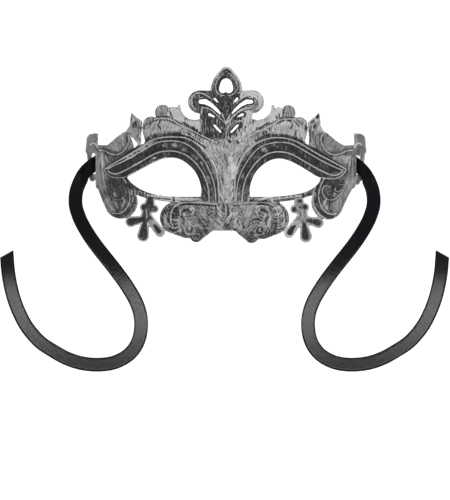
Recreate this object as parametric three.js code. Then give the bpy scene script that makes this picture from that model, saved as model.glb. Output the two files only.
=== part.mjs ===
// Carnival eye mask with a pierced crest, lying face up on the flat feet of
// its two strap bars, and the two flat ribbons threaded through its side
// slots and laid out in open loops on the same floor.
//
// Frame: millimetres, X across the mask, Y toward the crest, Z out of the
// face.  Origin: middle of the mask's plan box, on the floor.
//
// The plan of the mask is drawn on a sheet in drawing units: `d` is the
// distance from the middle line, `r` the row, counted downward from the
// crest.  Every shape on the sheet is a signed distance (negative inside),
// so shapes are joined with min and cut with max.

import * as THREE from 'three';

// ---------------------------------------------------------------- sizes --
const UNIT = 0.69;            // millimetres in one drawing unit
const MIDDLE_ROW = 154.3;     // row that lies at the middle of the plan

const WALL = 2.0;             // thickness of the moulding, square to it
const HALF_WIDTH = 96.3;      // middle line to the outside of a strap bar
const SIDE_FALL = 46.0;       // how far the sides fall behind the middle
const FALL_POWER = 2.4;       // how suddenly they fall
const FOLD_SLOPE = 0.9;       // extra slope of the fold beside the bars
const FOLD_IN = [83, 86];     // where that slope comes in
const FOLD_OUT = [89.5, 92];  // and where it goes again
const BAR_LIP = 1.5;          // height of a strap bar at its outer edge
const FOOT_FROM = 91.2;       // the flat feet start this far out

const NOSE_RISE = 12.0;       // the nose stands this far out at the bottom
const NOSE_TOP = 14;          // height on the plan where the nose begins
const NOSE_FULL = -52;        // and where it is full
const NOSE_SPREAD = [9.5, 13];
const CREST_LEAN = 0.0022;    // the crest leans back, by height squared
const CHIN_LEAN = 0.0030;     // the hanging leaves lean back too
const EDGE_ROUND = 0.45;      // edges are this much lower than the face

const SIGHT_HEIGHT = 2200;    // the plan draws in with height, toward a
const SIGHT_ROW = 250;        // point this high over this row of the sheet
const SIGHT_OFF = -0.69;      // and this far off the middle line

const GRID = 0.5;             // step of the outline tracing, drawing units
const OUTLINE_TOL = 0.10;     // outline may leave its true line by this
const EDGE_STEP = 2.9;        // longest piece of outline
const FACE_STEP = 3.15;       // spacing of the points inside the outline
const EDGE_CLEAR = 1.15;      // and their distance from it

const RIBBON_WIDTH = 9.6;
const RIBBON_THICK = 0.4;
const RIBBON_STEPS = 74;

// ------------------------------------------------------- sheet geometry --
const { hypot, min, max, abs, sign, sqrt, exp, cos, sin, PI } = Math;
const clamp = (x, a, b) => min(b, max(a, x));
const ease = (a, b, x) => { const t = clamp((x - a) / (b - a), 0, 1); return t * t * (3 - 2 * t); };
// area under ease() from a up to x
const eased = (a, b, x) => {
  const w = b - a, t = clamp((x - a) / w, 0, 1);
  return w * (t * t * t - t * t * t * t / 2) + max(0, x - b);
};
// a disc, or a bar whose ends are discs of their own radius
function bar(x, y, [ax, ay, ar], b) {
  if (!b) return hypot(x - ax, y - ay) - ar;
  const ex = b[0] - ax, ey = b[1] - ay;
  const h = clamp(((x - ax) * ex + (y - ay) * ey) / (ex * ex + ey * ey), 0, 1);
  return hypot(x - ax - h * ex, y - ay - h * ey) - (ar + h * (b[2] - ar));
}
const strokeOf = (x, y, ...p) => {
  let d = 1e9;
  for (let i = 1; i < p.length; i++) d = min(d, bar(x, y, p[i - 1], p[i]));
  return d;
};
function oval(x, y, cx, cy, rx, ry) {
  const u = x - cx, v = y - cy;
  const k0 = hypot(u / rx, v / ry), k1 = hypot(u / rx / rx, v / ry / ry);
  return k0 * (k0 - 1) / max(k1, 1e-9);
}
function block(x, y, x0, x1, y0, y1, round) {
  const qx = abs(x - (x0 + x1) / 2) - (x1 - x0) / 2 + round;
  const qy = abs(y - (y0 + y1) / 2) - (y1 - y0) / 2 + round;
  return hypot(max(qx, 0), max(qy, 0)) + min(max(qx, qy), 0) - round;
}
// pointed arch on the middle line: half width w at row y0, point at row tip
function ogive(x, y, w, y0, tip) {
  const h = abs(y0 - tip), R = (h * h + w * w) / (2 * w), c = R - w;
  return max(hypot(x + c, y - y0) - R, hypot(x - c, y - y0) - R);
}
const soft = (a, b, k) => {
  const h = clamp(0.5 + 0.5 * (b - a) / k, 0, 1);
  return b * (1 - h) + a * h - k * h * (1 - h);
};
function curve(p0, p1, p2, p3, n) {
  return Array.from({ length: n }, (_, i) => {
    const t = i / n, s = 1 - t;
    return [0, 1].map(k => s * s * s * p0[k] + 3 * s * s * t * p1[k] + 3 * s * t * t * p2[k] + t * t * t * p3[k]);
  });
}
function within(x, y, loop) {
  let d = 1e18, inside = false;
  for (let i = 0, j = loop.length - 1; i < loop.length; j = i++) {
    const [ax, ay] = loop[j], [bx, by] = loop[i];
    const ex = bx - ax, ey = by - ay;
    const h = clamp(((x - ax) * ex + (y - ay) * ey) / (ex * ex + ey * ey), 0, 1);
    d = min(d, (x - ax - h * ex) ** 2 + (y - ay - h * ey) ** 2);
    if ((ay > y) !== (by > y) && x < ex * (y - ay) / ey + ax) inside = !inside;
  }
  return inside ? -sqrt(d) : sqrt(d);
}

// ------------------------------------------------------ plan of the mask --
// eye opening: outer corner, top of the arch, inner corner
const OUTER_CORNER = [100.0, 177.6], ARCH_TOP = [55.7, 157.2], INNER_CORNER = [24.7, 197.1];
const EYE = [
  ...curve(OUTER_CORNER, [86, 172], [72, 159], ARCH_TOP, 16),
  ...curve(ARCH_TOP, [39, 156], [22.7, 176], INNER_CORNER, 20),
  ...curve(INNER_CORNER, [61, 198.2], [88, 196.5], OUTER_CORNER, 18),
];
const eyeOpening = (d, r) =>
  (d < 10 || d > 115 || r < 140 || r > 212) ? hypot(max(24 - d, d - 101, 0), max(156 - r, r - 198, 0)) + 0.01 : within(d, r, EYE);

// the two halves were not cut quite alike: on the right side (x > 0) the
// shapes sit a little nearer the middle line
function fromMiddle(x, r) {
  const d = abs(x), top = 0.5 * (1 - ease(86, 96, r));
  if (x <= 0) return d + top - 0.5 * exp(-(((d - 95) / 4) ** 2) - ((r - 117) / 7) ** 2);
  const t = ease(140, 205, r);
  return d + (2.0 * ease(40, 85, d) * (1 - t) + 3.0 * ease(5, 50, d) * t) * (1 - ease(104, 128, d) * (1 - ease(178, 198, r)))
    + 0.5 * ease(190, 205, r) * ease(95, 120, d) - top
    - 1.1 * exp(-(((d - 91) / 8) ** 2) - ((r - 118) / 9) ** 2)
    + 3.6 * ease(226, 234, r) * ease(4, 12, d) * (1 - ease(20, 42, d))
    + 1.6 * exp(-(((d - 98) / 16) ** 2) - ((r - 177) / 16) ** 2);
}

// and a few of them a touch lower; the left fan stands a touch higher
const lowered = (x, r) => x <= 0
  ? r + 0.8 * exp(-(((x + 108) / 8) ** 2) - ((r - 136) / 7) ** 2)
  : r - 0.9 * ease(204, 222, r) * ease(2, 14, x)
    - 0.6 * exp(-(((r - 112) / 9) ** 2)) * ease(38, 48, x) * (1 - ease(84, 88, x))
    - 0.9 * exp(-(((x - 112) / 7) ** 2) - ((r - 142) / 6) ** 2);

const shellLobe = (d, r) => min(oval(d, r, 58, 130.5, 25.2, 14.0), bar(d, r, [74.6, 125.1, 8.7]), bar(d, r, [76, 128, 7.6], [75.6, 139, 7.2]));
const leafLobe = (d, r) => bar(d, r, [63.3, 112.3, 7.7], [61, 122, 8]);
const crestScroll = (d, r) => bar(d, r, [26.5, 101.9, 11.6], [10, 103.2, 12.6]);
const crestDrop = (d, r) => min(ogive(d, r, 15.8, 91, 66.9), bar(d, r, [0, 74.4, 7.5], [0, 77.5, 9.4]));
const browBand = (d, r) => strokeOf(d, r, [120, 169.6, 1.5], [108, 166.5, 7.2], [88, 156.5, 9.6], [70, 149.5, 10.2],
  [56, 147, 10.6], [38, 151, 10.5], [24, 166, 9.5], [17, 184, 8.5], [15.5, 198, 8.5]);
const cheekLobe = (d, r) => strokeOf(d, r, [117, 172, 14.4], [114.2, 183.5, 15.0], [109.2, 195.4, 15.5], [105.0, 202.1, 16.7]);
const noseCheek = (d, r) => min(
  bar(d, r, [50.0, 217.9, 16.2], [38, 222.6, 15.8]),
  bar(d, r, [29.7, 235.9, 6.4], [17, 225.4, 6.6]),
  bar(d, r, [36, 214, 13], [26, 212, 12]));
const fanLeaf = (d, r) => bar(d, r, [97.8, 141.2, 9.8], [113, 158, 14.1]);

function brow(d, r) {
  const horn = min(bar(d, r, [53.2, 111.1, 4.6], [52, 118, 5]), bar(d, r, [46.9, 106.0, 1.5], [46.6, 116, 5.6]));
  const plate = min(bar(d, r, [46, 132, 13], [8, 136, 18]), bar(d, r, [44, 119.5, 6]), bar(d, r, [24, 122, 5.6]));
  const bay = bar(d, r, [31.5, 105.8, 14.0]);
  return max(min(plate, shellLobe(d, r), leafLobe(d, r), horn), -bay);
}
const crest = (d, r) => min(crestDrop(d, r), crestScroll(d, r), block(d, r, -30, 26.3, 96, 128, 1));
const eyeSurround = (d, r) => min(browBand(d, r), eyeOpening(d, r) - 3.6,
  bar(d, r, [26, 146, 8], [18, 158, 8]), bar(d, r, [94, 169.2, 2.6], [84, 165.4, 2.2]),
  strokeOf(d, r, [98, 183, 3.2], [88, 192.9, 2.6], [77, 196.9, 2.2], [66, 198.6, 2.2], [54, 199.4, 2.7], [26, 202, 4.5]));
const nose = (d, r) => min(block(d, r, -30, 20, 118, 230.8, 1), bar(d, r, [30, 208, 6], [14, 222, 8]), noseCheek(d, r));
const finial = (d, r) => min(
  bar(d, r, [93.7, 113.6, 0.7], [92.2, 122.6, 3.9]), bar(d, r, [92.4, 116, 1.2], [86.8, 122.2, 2.6]),
  bar(d, r, [86.8, 123.2, 3.0], [88.5, 130, 4.6]), bar(d, r, [89.6, 128, 5], [87.1, 147, 2.3]),
  bar(d, r, [94.0, 128, 3.3], [97, 134, 4.0]));
const temple = (d, r) => min(cheekLobe(d, r), fanLeaf(d, r), block(d, r, 92, 130.4, 150, 189, 3),
  bar(d, r, [133.9, 139.4, 5.6], [134.3, 150, 6.3]), block(d, r, 127.9, 133, 133.3, 141, 0.8),
  bar(d, r, [128, 150.2, 5.3], [118, 150.5, 5.2]), bar(d, r, [135.9, 150, 3.6], [133.6, 178.6, 2.9]));
// the cross-shaped leaf hanging under each eye
function pendant(d, r) {
  const stem = bar(d, r, [75.7, 199, 4.4], [76.8, 208, 5.7]);
  const arms = soft(bar(d, r, [81.8, 207.4, 4.4], [77, 208, 4.4]), bar(d, r, [71.4, 208.8, 4.1], [76, 208, 4.2]), 1.4);
  const waist = bar(d, r, [78.5, 209.5, 5.0], [80.8, 216.5, 4.4]);
  const leaves = soft(soft(bar(d, r, [80, 218.6, 3.0], [95.3, 221.8, 5.4]), bar(d, r, [80.4, 219, 2.9], [82.9, 235.5, 6.2]), 2.0),
    bar(d, r, [78.4, 216, 4.0], [66.1, 232.3, 4.9]), 2.0);
  return soft(soft(soft(stem, arms, 1.5), waist, 1.5), leaves, 2);
}
function piercings(x, d, r) {
  const inner = (1 - ease(30, 40, d)) * ease(160, 170, r) * (1 - ease(190, 194, r));
  const lip = 0.5 - 0.6 * inner
    + (x < 0 ? 0 : 0.9 * ease(30, 55, d) * (1 - ease(174, 186, r)) - 0.7 * ease(176, 184, r) * ease(66, 84, d));   // the right opening is narrower
  const outer = ease(70, 92, d);
  const h = d + (x < 0 ? 0.15 : 0.75), wider = x < 0 ? 0 : 0.5;
  return min(
    eyeOpening(d - (x < 0 ? 0 : 0.7) * outer, r + (x < 0 ? 0.7 : 0) * outer) + lip,
    max(ogive(h, r, 7.4, 88.8, 78.2), r - 89.3), bar(h, r, [0, 84.6, 6.3]), bar(h, r, [3.5, 89.2, 3.9]),                          // heart in the drop
    min(strokeOf(d, r, [25.4, 101.7, 2.2], [20.6, 101.7, 2.7], [14.6, 105.1, 2.0], [9.2, 109.9, 1.65], [6.0, 113.5, 1.0]),
      bar(d, r, [11.2, 98.8, 1.3], [7.5, 103.2, 0.5]) - wider,
      bar(d, r, [16.6, 114.5, 1.5], [11.6, 116.8, 0.8]) - 0.5 * wider,
      bar(d, r, [11.8, 125.3, 1.1], [5.3, 132.0, 1.05]) - 0.7 * wider) + (x < 0 ? 0.15 : 0.45),
    x < 0 ? strokeOf(d, r, [95.0, 136.2, 0.4], [90.5, 144.2, 2.0], [91.6, 147.6, 0.4]) : 99,            // left side only
    bar(d, r, [83.5, 133.2, 0.4], [82.6, 141.0, 1.6]),
    x < 0 ? bar(d, r, [132.4, 154.8, 1.7], [131.9, 172.5, 1.75]) : bar(d, r, [132.2, 157.8, 1.9], [131.9, 172.9, 1.8]));                                              // ribbon slot
}
function plan(x, row) {
  const d = fromMiddle(x, row), r = lowered(x, row);
  const tab = x < 0 ? 99 : bar(d, r, [132.6, 178, 3.0], [131.8, 182.6, 2.3]);       // the bar reaches lower there
  return max(min(brow(d, r), crest(d, r), eyeSurround(d, r), nose(d, r), finial(d, r), temple(d, r), pendant(d, r), tab),
    -piercings(x, d, r));
}

// ------------------------------------------------- form over that plan --
// u, v in millimetres on the plan; result is the height of the bare shell
function shellHeight(u, v) {
  const a = abs(u);
  const side = SIDE_FALL * (a / HALF_WIDTH) ** FALL_POWER;
  const fold = FOLD_SLOPE * (eased(...FOLD_IN, a) - eased(...FOLD_OUT, a));
  const full = FOLD_SLOPE * (eased(...FOLD_IN, HALF_WIDTH) - eased(...FOLD_OUT, HALF_WIDTH));
  const grown = ease(NOSE_TOP, NOSE_FULL, v);
  const spread = NOSE_SPREAD[0] + (NOSE_SPREAD[1] - NOSE_SPREAD[0]) * grown;
  const rise = NOSE_RISE * grown * exp(-a * a / (2 * spread * spread));
  const lean = CREST_LEAN * max(0, v - 12) ** 2 + CHIN_LEAN * max(0, -v - 25) ** 2;
  return SIDE_FALL + full + BAR_LIP - side - fold + rise - lean;
}
function shellSlope(u, v) {
  const e = 0.05;
  return hypot((shellHeight(u + e, v) - shellHeight(u - e, v)) / (2 * e), (shellHeight(u, v + e) - shellHeight(u, v - e)) / (2 * e));
}
// carving that stands up from the shell: height h inside shape s, with a
// shoulder w wide
const pad = (s, w, h) => h * ease(0, w, -s * UNIT);
function carving(x, row) {
  const d = fromMiddle(x, row), r = lowered(x, row);
  const band = max(browBand(d, r), r - 200);
  return max(
    pad(band, 2.6, 1.5),
    pad(shellLobe(d, r), 6.0, 2.0),
    pad(leafLobe(d, r), 4.0, 1.4),
    pad(crestScroll(d, r), 4.0, 1.2),
    pad(max(crestDrop(d, r), -bar(d, r, [0, 87.4, 9.5])), 2.2, 1.1),
    pad(bar(d, r, [0, 122, 4], [0, 145, 9]), 4.0, 1.0),
    pad(cheekLobe(d, r), 7.0, 1.6),
    pad(noseCheek(d, r), 8.0, 2.2),
    pad(fanLeaf(d, r), 5.0, 1.2),
    pad(finial(d, r), 2.4, 1.0),
    pad(pendant(d, r), 2.4, 0.9));
}
// front and back of the moulding over a point of the sheet
function faces(x, r) {
  const u = x * UNIT, v = (MIDDLE_ROW - r) * UNIT;
  const bare = shellHeight(u, v), s = plan(x, r) * UNIT;
  const front = bare + carving(x, r) * (abs(u) < FOOT_FROM ? 1 : 0) - EDGE_ROUND * ease(-1.0, 0, s);
  const back = abs(u) > FOOT_FROM ? 0 : bare - WALL * sqrt(1 + shellSlope(u, v) ** 2);
  return { u, v, front, back: max(0, back) };
}
// the plan draws in with height
const sightY = (MIDDLE_ROW - SIGHT_ROW) * UNIT;
function drawnIn(u, v, z) {
  const k = 1 - z / SIGHT_HEIGHT;
  return [SIGHT_OFF + (u - SIGHT_OFF) * k, sightY + (v - sightY) * k, z];
}

// --------------------------------------------------- outline of the plan --
// closed loops of points (drawing units) where plan() passes through zero
function traceOutline() {
  const x0 = -144, r0 = 62, nx = Math.round(288 / GRID), ny = Math.round(184 / GRID);
  const f = [];
  for (let j = 0; j <= ny; j++) {
    f.push(Array.from({ length: nx + 1 }, (_, i) => plan(x0 + i * GRID, r0 + j * GRID) || 1e-6));
  }
  const cross = new Map(), links = new Map();
  const crossing = (i, j, k, l) => {              // on the grid edge (i,j)-(k,l)
    const key = `${i},${j},${k},${l}`;
    if (!cross.has(key)) {
      const a = f[j][i], b = f[l][k], t = clamp(a / (a - b), 0.03, 0.97);
      cross.set(key, [x0 + (i + (k - i) * t) * GRID, r0 + (j + (l - j) * t) * GRID]);
    }
    return key;
  };
  const link = (a, b) => { for (const [p, q] of [[a, b], [b, a]]) links.set(p, [...(links.get(p) ?? []), q]); };
  for (let j = 0; j < ny; j++) for (let i = 0; i < nx; i++) {
    const c = [f[j][i] < 0, f[j][i + 1] < 0, f[j + 1][i + 1] < 0, f[j + 1][i] < 0];
    const e = [() => crossing(i, j, i + 1, j), () => crossing(i + 1, j, i + 1, j + 1),
      () => crossing(i, j + 1, i + 1, j + 1), () => crossing(i, j, i, j + 1)];
    const cut = [0, 1, 2, 3].filter(k => c[k] !== c[(k + 1) % 4]);
    if (cut.length === 2) link(e[cut[0]](), e[cut[1]]());
    if (cut.length === 4) {
      const mid = f[j][i] + f[j][i + 1] + f[j + 1][i + 1] + f[j + 1][i] < 0;
      const pairs = mid === c[0] ? [[0, 1], [2, 3]] : [[3, 0], [1, 2]];
      for (const [p, q] of pairs) link(e[p](), e[q]());
    }
  }
  const loops = [];
  while (links.size) {
    const start = links.keys().next().value;
    const loop = [start];
    let at = start, from = null;
    for (;;) {
      const [p, q] = links.get(at), next = p === from ? q : p;
      links.delete(at);
      if (next === start || !links.has(next)) break;
      from = at; at = next; loop.push(at);
    }
    if (loop.length > 8) loops.push(loop.map(k => cross.get(k)));
  }
  return loops;
}
// fewer points, none farther than the tolerance from the traced line
function thinned(loop) {
  const keep = new Set([0]);
  let far = 0, best = 0;
  loop.forEach((p, i) => { const s = hypot(p[0] - loop[0][0], p[1] - loop[0][1]); if (s > best) { best = s; far = i; } });
  keep.add(far);
  const work = [[0, far], [far, loop.length]];
  while (work.length) {
    const [a, b] = work.pop(), p = loop[a], q = loop[b % loop.length];
    const ex = q[0] - p[0], ey = q[1] - p[1], L = hypot(ex, ey);
    let worst = 0, at = -1;
    for (let i = a + 1; i < b; i++) {
      const s = abs(ex * (loop[i][1] - p[1]) - ey * (loop[i][0] - p[0])) / L;
      if (s > worst) { worst = s; at = i; }
    }
    if (worst * UNIT > OUTLINE_TOL) { keep.add(at); work.push([a, at], [at, b]); }
  }
  const corners = [...keep].sort((m, n) => m - n);
  const out = [];
  corners.forEach((a, k) => {
    const b = k + 1 < corners.length ? corners[k + 1] : loop.length;
    let length = 0;
    for (let i = a; i < b; i++) length += hypot(...[0, 1].map(m => loop[(i + 1) % loop.length][m] - loop[i][m])) * UNIT;
    const n = Math.ceil(length / EDGE_STEP);
    for (let i = 0; i < n; i++) out.push(loop[Math.round(a + (b - a) * i / n)]);
  });
  return out;
}

// -------------------------------------------------- triangles over points --
// empty-circle triangles over a set of points
function triangulate(pts) {
  const order = pts.map((_, i) => i).sort((a, b) => pts[a][0] - pts[b][0] || pts[a][1] - pts[b][1]);
  const far = 4000, all = [...pts, [-far, -far], [far, -far], [0, far]];
  const n = pts.length;
  const circle = (i, j, k) => {
    const [ax, ay] = all[i], [bx, by] = all[j], [cx, cy] = all[k];
    const B = [bx - ax, by - ay], C = [cx - ax, cy - ay], D = 2 * (B[0] * C[1] - B[1] * C[0]);
    const b2 = B[0] ** 2 + B[1] ** 2, c2 = C[0] ** 2 + C[1] ** 2;
    const ux = (C[1] * b2 - B[1] * c2) / D, uy = (B[0] * c2 - C[0] * b2) / D;
    return { t: [i, j, k], x: ax + ux, y: ay + uy, rr: ux * ux + uy * uy };
  };
  let open = [circle(n, n + 1, n + 2)];
  const done = [];
  for (const i of order) {
    const [x, y] = all[i], rim = new Map(), still = [];
    for (const c of open) {
      const dx = x - c.x;
      if (dx > 0 && dx * dx > c.rr) { done.push(c.t); continue; }
      if (dx * dx + (y - c.y) ** 2 > c.rr) { still.push(c); continue; }
      for (const [a, b] of [[0, 1], [1, 2], [2, 0]]) {
        const p = c.t[a], q = c.t[b], key = p < q ? p * 1e6 + q : q * 1e6 + p;
        rim.has(key) ? rim.set(key, null) : rim.set(key, [p, q]);
      }
    }
    open = still;
    for (const e of rim.values()) if (e) open.push(circle(e[0], e[1], i));
  }
  return [...done, ...open.map(c => c.t)].filter(t => t.every(i => i < n)).map(([a, b, c]) => {
    const s = (pts[b][0] - pts[a][0]) * (pts[c][1] - pts[a][1]) - (pts[b][1] - pts[a][1]) * (pts[c][0] - pts[a][0]);
    return s > 0 ? [a, b, c] : [a, c, b];
  });
}

function maskGeometry() {
  // outline points, in plan millimetres
  let loops = traceOutline().map(thinned).map(l => l.map(([x, r]) => [x * UNIT, (MIDDLE_ROW - r) * UNIT]));
  const inner = [];
  const rowStep = FACE_STEP * sqrt(3) / 2;
  for (let j = -24; j <= 24; j++) for (let i = -33; i <= 33; i++) {
    // an evenly staggered net, nudged so that no four points share a circle
    const u = (i + (j & 1) / 2) * FACE_STEP + 0.11 * sin(12.9 * i + 7.3 * j);
    const v = j * rowStep + 0.11 * sin(5.7 * i - 9.1 * j);
    if (plan(u / UNIT, MIDDLE_ROW - v / UNIT) * UNIT < -EDGE_CLEAR) inner.push([u, v]);
  }
  const frame = [];
  for (let k = 0; k <= 20; k++) {
    const s = -115 + 11.5 * k;
    frame.push([s, -85], [s, 85]);
    if (k > 0 && k < 20) frame.push([-115, s * 0.7], [115, s * 0.7]);
  }
  let pts, tris;
  for (let pass = 0; pass < 12; pass++) {
    pts = [...loops.flat(), ...inner, ...frame];
    tris = triangulate(pts);
    const edges = new Set(tris.flatMap(([a, b, c]) => [[a, b], [b, c], [c, a]].map(([p, q]) => p < q ? p * 1e6 + q : q * 1e6 + p)));
    let base = 0, missing = 0;
    loops = loops.map(l => {
      const out = [];
      l.forEach((p, i) => {
        const j = (i + 1) % l.length, a = base + i, b = base + j;
        out.push(p);
        if (!edges.has(a < b ? a * 1e6 + b : b * 1e6 + a)) { missing++; out.push([(p[0] + l[j][0]) / 2, (p[1] + l[j][1]) / 2]); }
      });
      base += l.length;
      return out;
    });
    if (!missing) break;
  }
  const inPlan = (u, v) => {
    let inside = false;
    for (const l of loops) for (let i = 0, j = l.length - 1; i < l.length; j = i++) {
      if ((l[j][1] > v) !== (l[i][1] > v) && u < (l[i][0] - l[j][0]) * (v - l[j][1]) / (l[i][1] - l[j][1]) + l[j][0]) inside = !inside;
    }
    return inside;
  };
  const kept = tris.filter(t => inPlan(t.reduce((s, i) => s + pts[i][0], 0) / 3, t.reduce((s, i) => s + pts[i][1], 0) / 3));

  const n = pts.length, position = new Float64Array(n * 6), index = [];
  pts.forEach(([u, v], i) => {
    const f = faces(u / UNIT, MIDDLE_ROW - v / UNIT);
    position.set(drawnIn(u, v, f.front), i * 3);
    position.set(drawnIn(u, v, f.back), (n + i) * 3);
  });
  const directed = new Set(kept.flatMap(([a, b, c]) => [a * 1e6 + b, b * 1e6 + c, c * 1e6 + a]));
  for (const [a, b, c] of kept) {
    index.push(a, b, c, n + a, n + c, n + b);
    for (const [p, q] of [[a, b], [b, c], [c, a]]) {
      if (!directed.has(q * 1e6 + p)) index.push(p, n + p, n + q, p, n + q, q);     // wall along the outline
    }
  }
  return solid(position, index);
}
// keep only the points in use
function solid(position, index) {
  const used = new Map(), out = [];
  const idx = index.map(i => {
    if (!used.has(i)) { used.set(i, used.size); out.push(position[i * 3], position[i * 3 + 1], position[i * 3 + 2]); }
    return used.get(i);
  });
  const g = new THREE.BufferGeometry();
  g.setAttribute('position', new THREE.Float32BufferAttribute(out, 3));
  g.setIndex(idx);
  g.computeVertexNormals();
  return g;
}

// ------------------------------------------------------------- ribbons --
// the ribbon comes from behind the side panel, up through the slot and over
// the strap bar (distance from the middle line, height of its underside)
const THREAD = [[83.5, 0], [87.4, 0], [89.4, 0.5], [90.6, 2.2], [90.8, 4.4], [90.95, 6.8], [91.7, 7.5], [93.0, 6.6],
  [94.8, 4.6], [96.7, 2.5], [98.5, 0.6], [100.6, 0]];
// and its course there on the sheet, left and right
const COURSE = [[121, 156.4], [131, 163.8], [136.8, 168.1], [140.1, 171.7], [142.75, 175.4], [145.8, 181.0]];
const COURSE_RIGHT = [[119, 156.0], [129.7, 163.9], [134.3, 167.9], [137.6, 171.8], [139.9, 175.4], [142.95, 181.0]];
// then lies on the floor in an open loop: middle of the ribbon, sheet x and row
const LAY = [[-147.3, 184.4], [-149.3, 190], [-150.5, 198], [-150.2, 206], [-148.3, 213], [-145.4, 220.5], [-140.3, 230],
  [-133.9, 240], [-126.3, 250.2],
  [-110.6, 270], [-99.1, 286], [-89.9, 302], [-85.9, 314], [-84.9, 325], [-86.6, 337.5], [-91.4, 348], [-99.4, 356.3],
  [-112.6, 362.7], [-128.6, 364.7], [-145.6, 362.9], [-160, 358], [-173, 350.8], [-186, 342], [-199, 327], [-206.6, 313],
  [-212, 299], [-215.6, 285], [-218, 270], [-219.3, 253.8]];
const CUT = [[-226, 257.5], [-212.6, 250]];   // the slanting cut end

function ribbonGeometry(side) {
  const place = ([x, r]) => new THREE.Vector3(side < 0 ? x : -x - 2.85, r, 0);        // the right one lies nearer
  // stations of the middle line over the bar
  const course = side < 0 ? COURSE : COURSE_RIGHT;
  const thread = THREAD.map(([a]) => {
    const x = a / UNIT - (side < 0 ? 0 : 2.85 * ease(134, 143, a / UNIT));
    let i = 1;
    while (i < course.length - 1 && x > course[i][0]) i++;
    const [x0, r0] = course[i - 1], [x1, r1] = course[i];
    return new THREE.Vector3(side * x, r0 + (r1 - r0) * (x - x0) / (x1 - x0), 0);
  });
  const path = new THREE.CatmullRomCurve3([...thread, ...LAY.map(place)], false, 'centripetal');
  const fine = path.getSpacedPoints(900);
  const dist = fine.map((p, i) => i ? p.distanceTo(fine[i - 1]) : 0);
  for (let i = 1; i < dist.length; i++) dist[i] += dist[i - 1];
  const total = dist[dist.length - 1];
  // underside over the thread at distance a, and the way its thickness points
  const facing = THREAD.map(([a, z], i) => {
    const [a0, z0] = THREAD[max(0, i - 1)], [a1, z1] = THREAD[min(THREAD.length - 1, i + 1)];
    const l = hypot(a1 - a0, z1 - z0);
    return [-(z1 - z0) / l, (a1 - a0) / l];
  });
  const over = a => {
    for (let i = 1; i < THREAD.length; i++) {
      const [a0, z0] = THREAD[i - 1], [a1, z1] = THREAD[i];
      if (a <= a1) {
        const f = max(0, a - a0) / (a1 - a0), m = 1 - f;
        return [m * z0 + f * z1, m * facing[i - 1][0] + f * facing[i][0], m * facing[i - 1][1] + f * facing[i][1]];
      }
    }
    return [0, 0, 1];
  };
  const station = t => {                               // t along the path
    const s = t * total;
    let i = dist.findIndex(q => q >= s); i = max(1, i);
    const k = (s - dist[i - 1]) / (dist[i] - dist[i - 1] || 1);
    const c = fine[i - 1].clone().lerp(fine[i], k);
    const dir = fine[min(900, i + 2)].clone().sub(fine[max(0, i - 3)]).normalize();
    const half = RIBBON_WIDTH / 2 / UNIT;
    // across the ribbon: upright in the slot, then turning square to the path
    const w = 1 - ease(14, 40, s), upright = min(8.35, half / abs(dir.x));
    const square = Math.atan2(side * dir.x, -side * dir.y);
    const turn = square + (((PI / 2 - square) % (2 * PI) + 3 * PI) % (2 * PI) - PI) * w;
    const wide = half + (upright - half) * w;
    return { c, n: new THREE.Vector3(wide * Math.cos(turn), wide * Math.sin(turn), 0) };
  };
  const list = [];
  // one station at each point of the thread, then even ones
  const joints = thread.length + LAY.length - 1;
  const passed = THREAD.map((_, k) => {
    const p = path.getPoint(k / joints);
    let best = 0;
    fine.forEach((q, i) => { if (i < 200 && q.distanceTo(p) < fine[best].distanceTo(p)) best = i; });
    return dist[best] / total;
  });
  passed.forEach((t, k) => list.push({ ...station(t), c: path.getPoint(k / joints), lift: 1 }));
  const from = passed[passed.length - 1];
  for (let k = 1; k <= RIBBON_STEPS; k++) {
    const t = from + (1 - from) * k / RIBBON_STEPS;
    list.push({ ...station(t), lift: 1 - ease(27, 44, t * total) });
  }
  // the cut end
  const cut = CUT.map(place);
  const end = list[list.length - 1];
  end.c = cut[0].clone().add(cut[1]).multiplyScalar(0.5);
  end.n = cut[1].clone().sub(cut[0]).multiplyScalar(0.5);
  if (end.n.dot(list[list.length - 2].n) < 0) end.n.negate();
  const position = [], index = [];
  for (const { c, n, lift } of list) {
    for (const [s, top] of [[1, 0], [-1, 0], [-1, 1], [1, 1]]) {
      const x = c.x + s * n.x, r = c.y + s * n.y;
      const u = x * UNIT, v = (MIDDLE_ROW - r) * UNIT;
      const [height, aside, up] = over(abs(u));
      const t = top * RIBBON_THICK, out = aside * lift;
      const z = lift * height + t * (up + (1 - up) * (1 - lift));
      position.push(...drawnIn(u + sign(u) * t * out, v, z));
    }
  }
  const quad = (a, b, c, d) => index.push(a, b, c, a, c, d);
  for (let k = 0; k < list.length - 1; k++) {
    const p = 4 * k, q = p + 4;
    for (let m = 0; m < 4; m++) {
      const w = (m + 1) % 4;                             // upper and lower side fold along the same diagonal
      if (m === 2) quad(q + m, q + w, p + w, p + m); else quad(p + m, q + m, q + w, p + w);
    }
  }
  const last = 4 * (list.length - 1);
  quad(0, 1, 2, 3); quad(last + 3, last + 2, last + 1, last);
  const g = solid(position, index);
  // face outward
  const P = g.attributes.position, I = g.index.array;
  let volume = 0;
  for (let i = 0; i < I.length; i += 3) {
    const [a, b, c] = [I[i], I[i + 1], I[i + 2]].map(j => new THREE.Vector3().fromBufferAttribute(P, j));
    volume += a.dot(b.cross(c));
  }
  if (volume < 0) { for (let i = 0; i < I.length; i += 3) [I[i + 1], I[i + 2]] = [I[i + 2], I[i + 1]]; }
  return g;
}

// --------------------------------------------------------------- object --
const silver = new THREE.MeshStandardMaterial({ color: 0x6d6d6e, roughness: 0.55, metalness: 0.35 });
const satin = new THREE.MeshStandardMaterial({ color: 0x17181b, roughness: 0.45, metalness: 0.0, side: THREE.DoubleSide });

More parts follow.
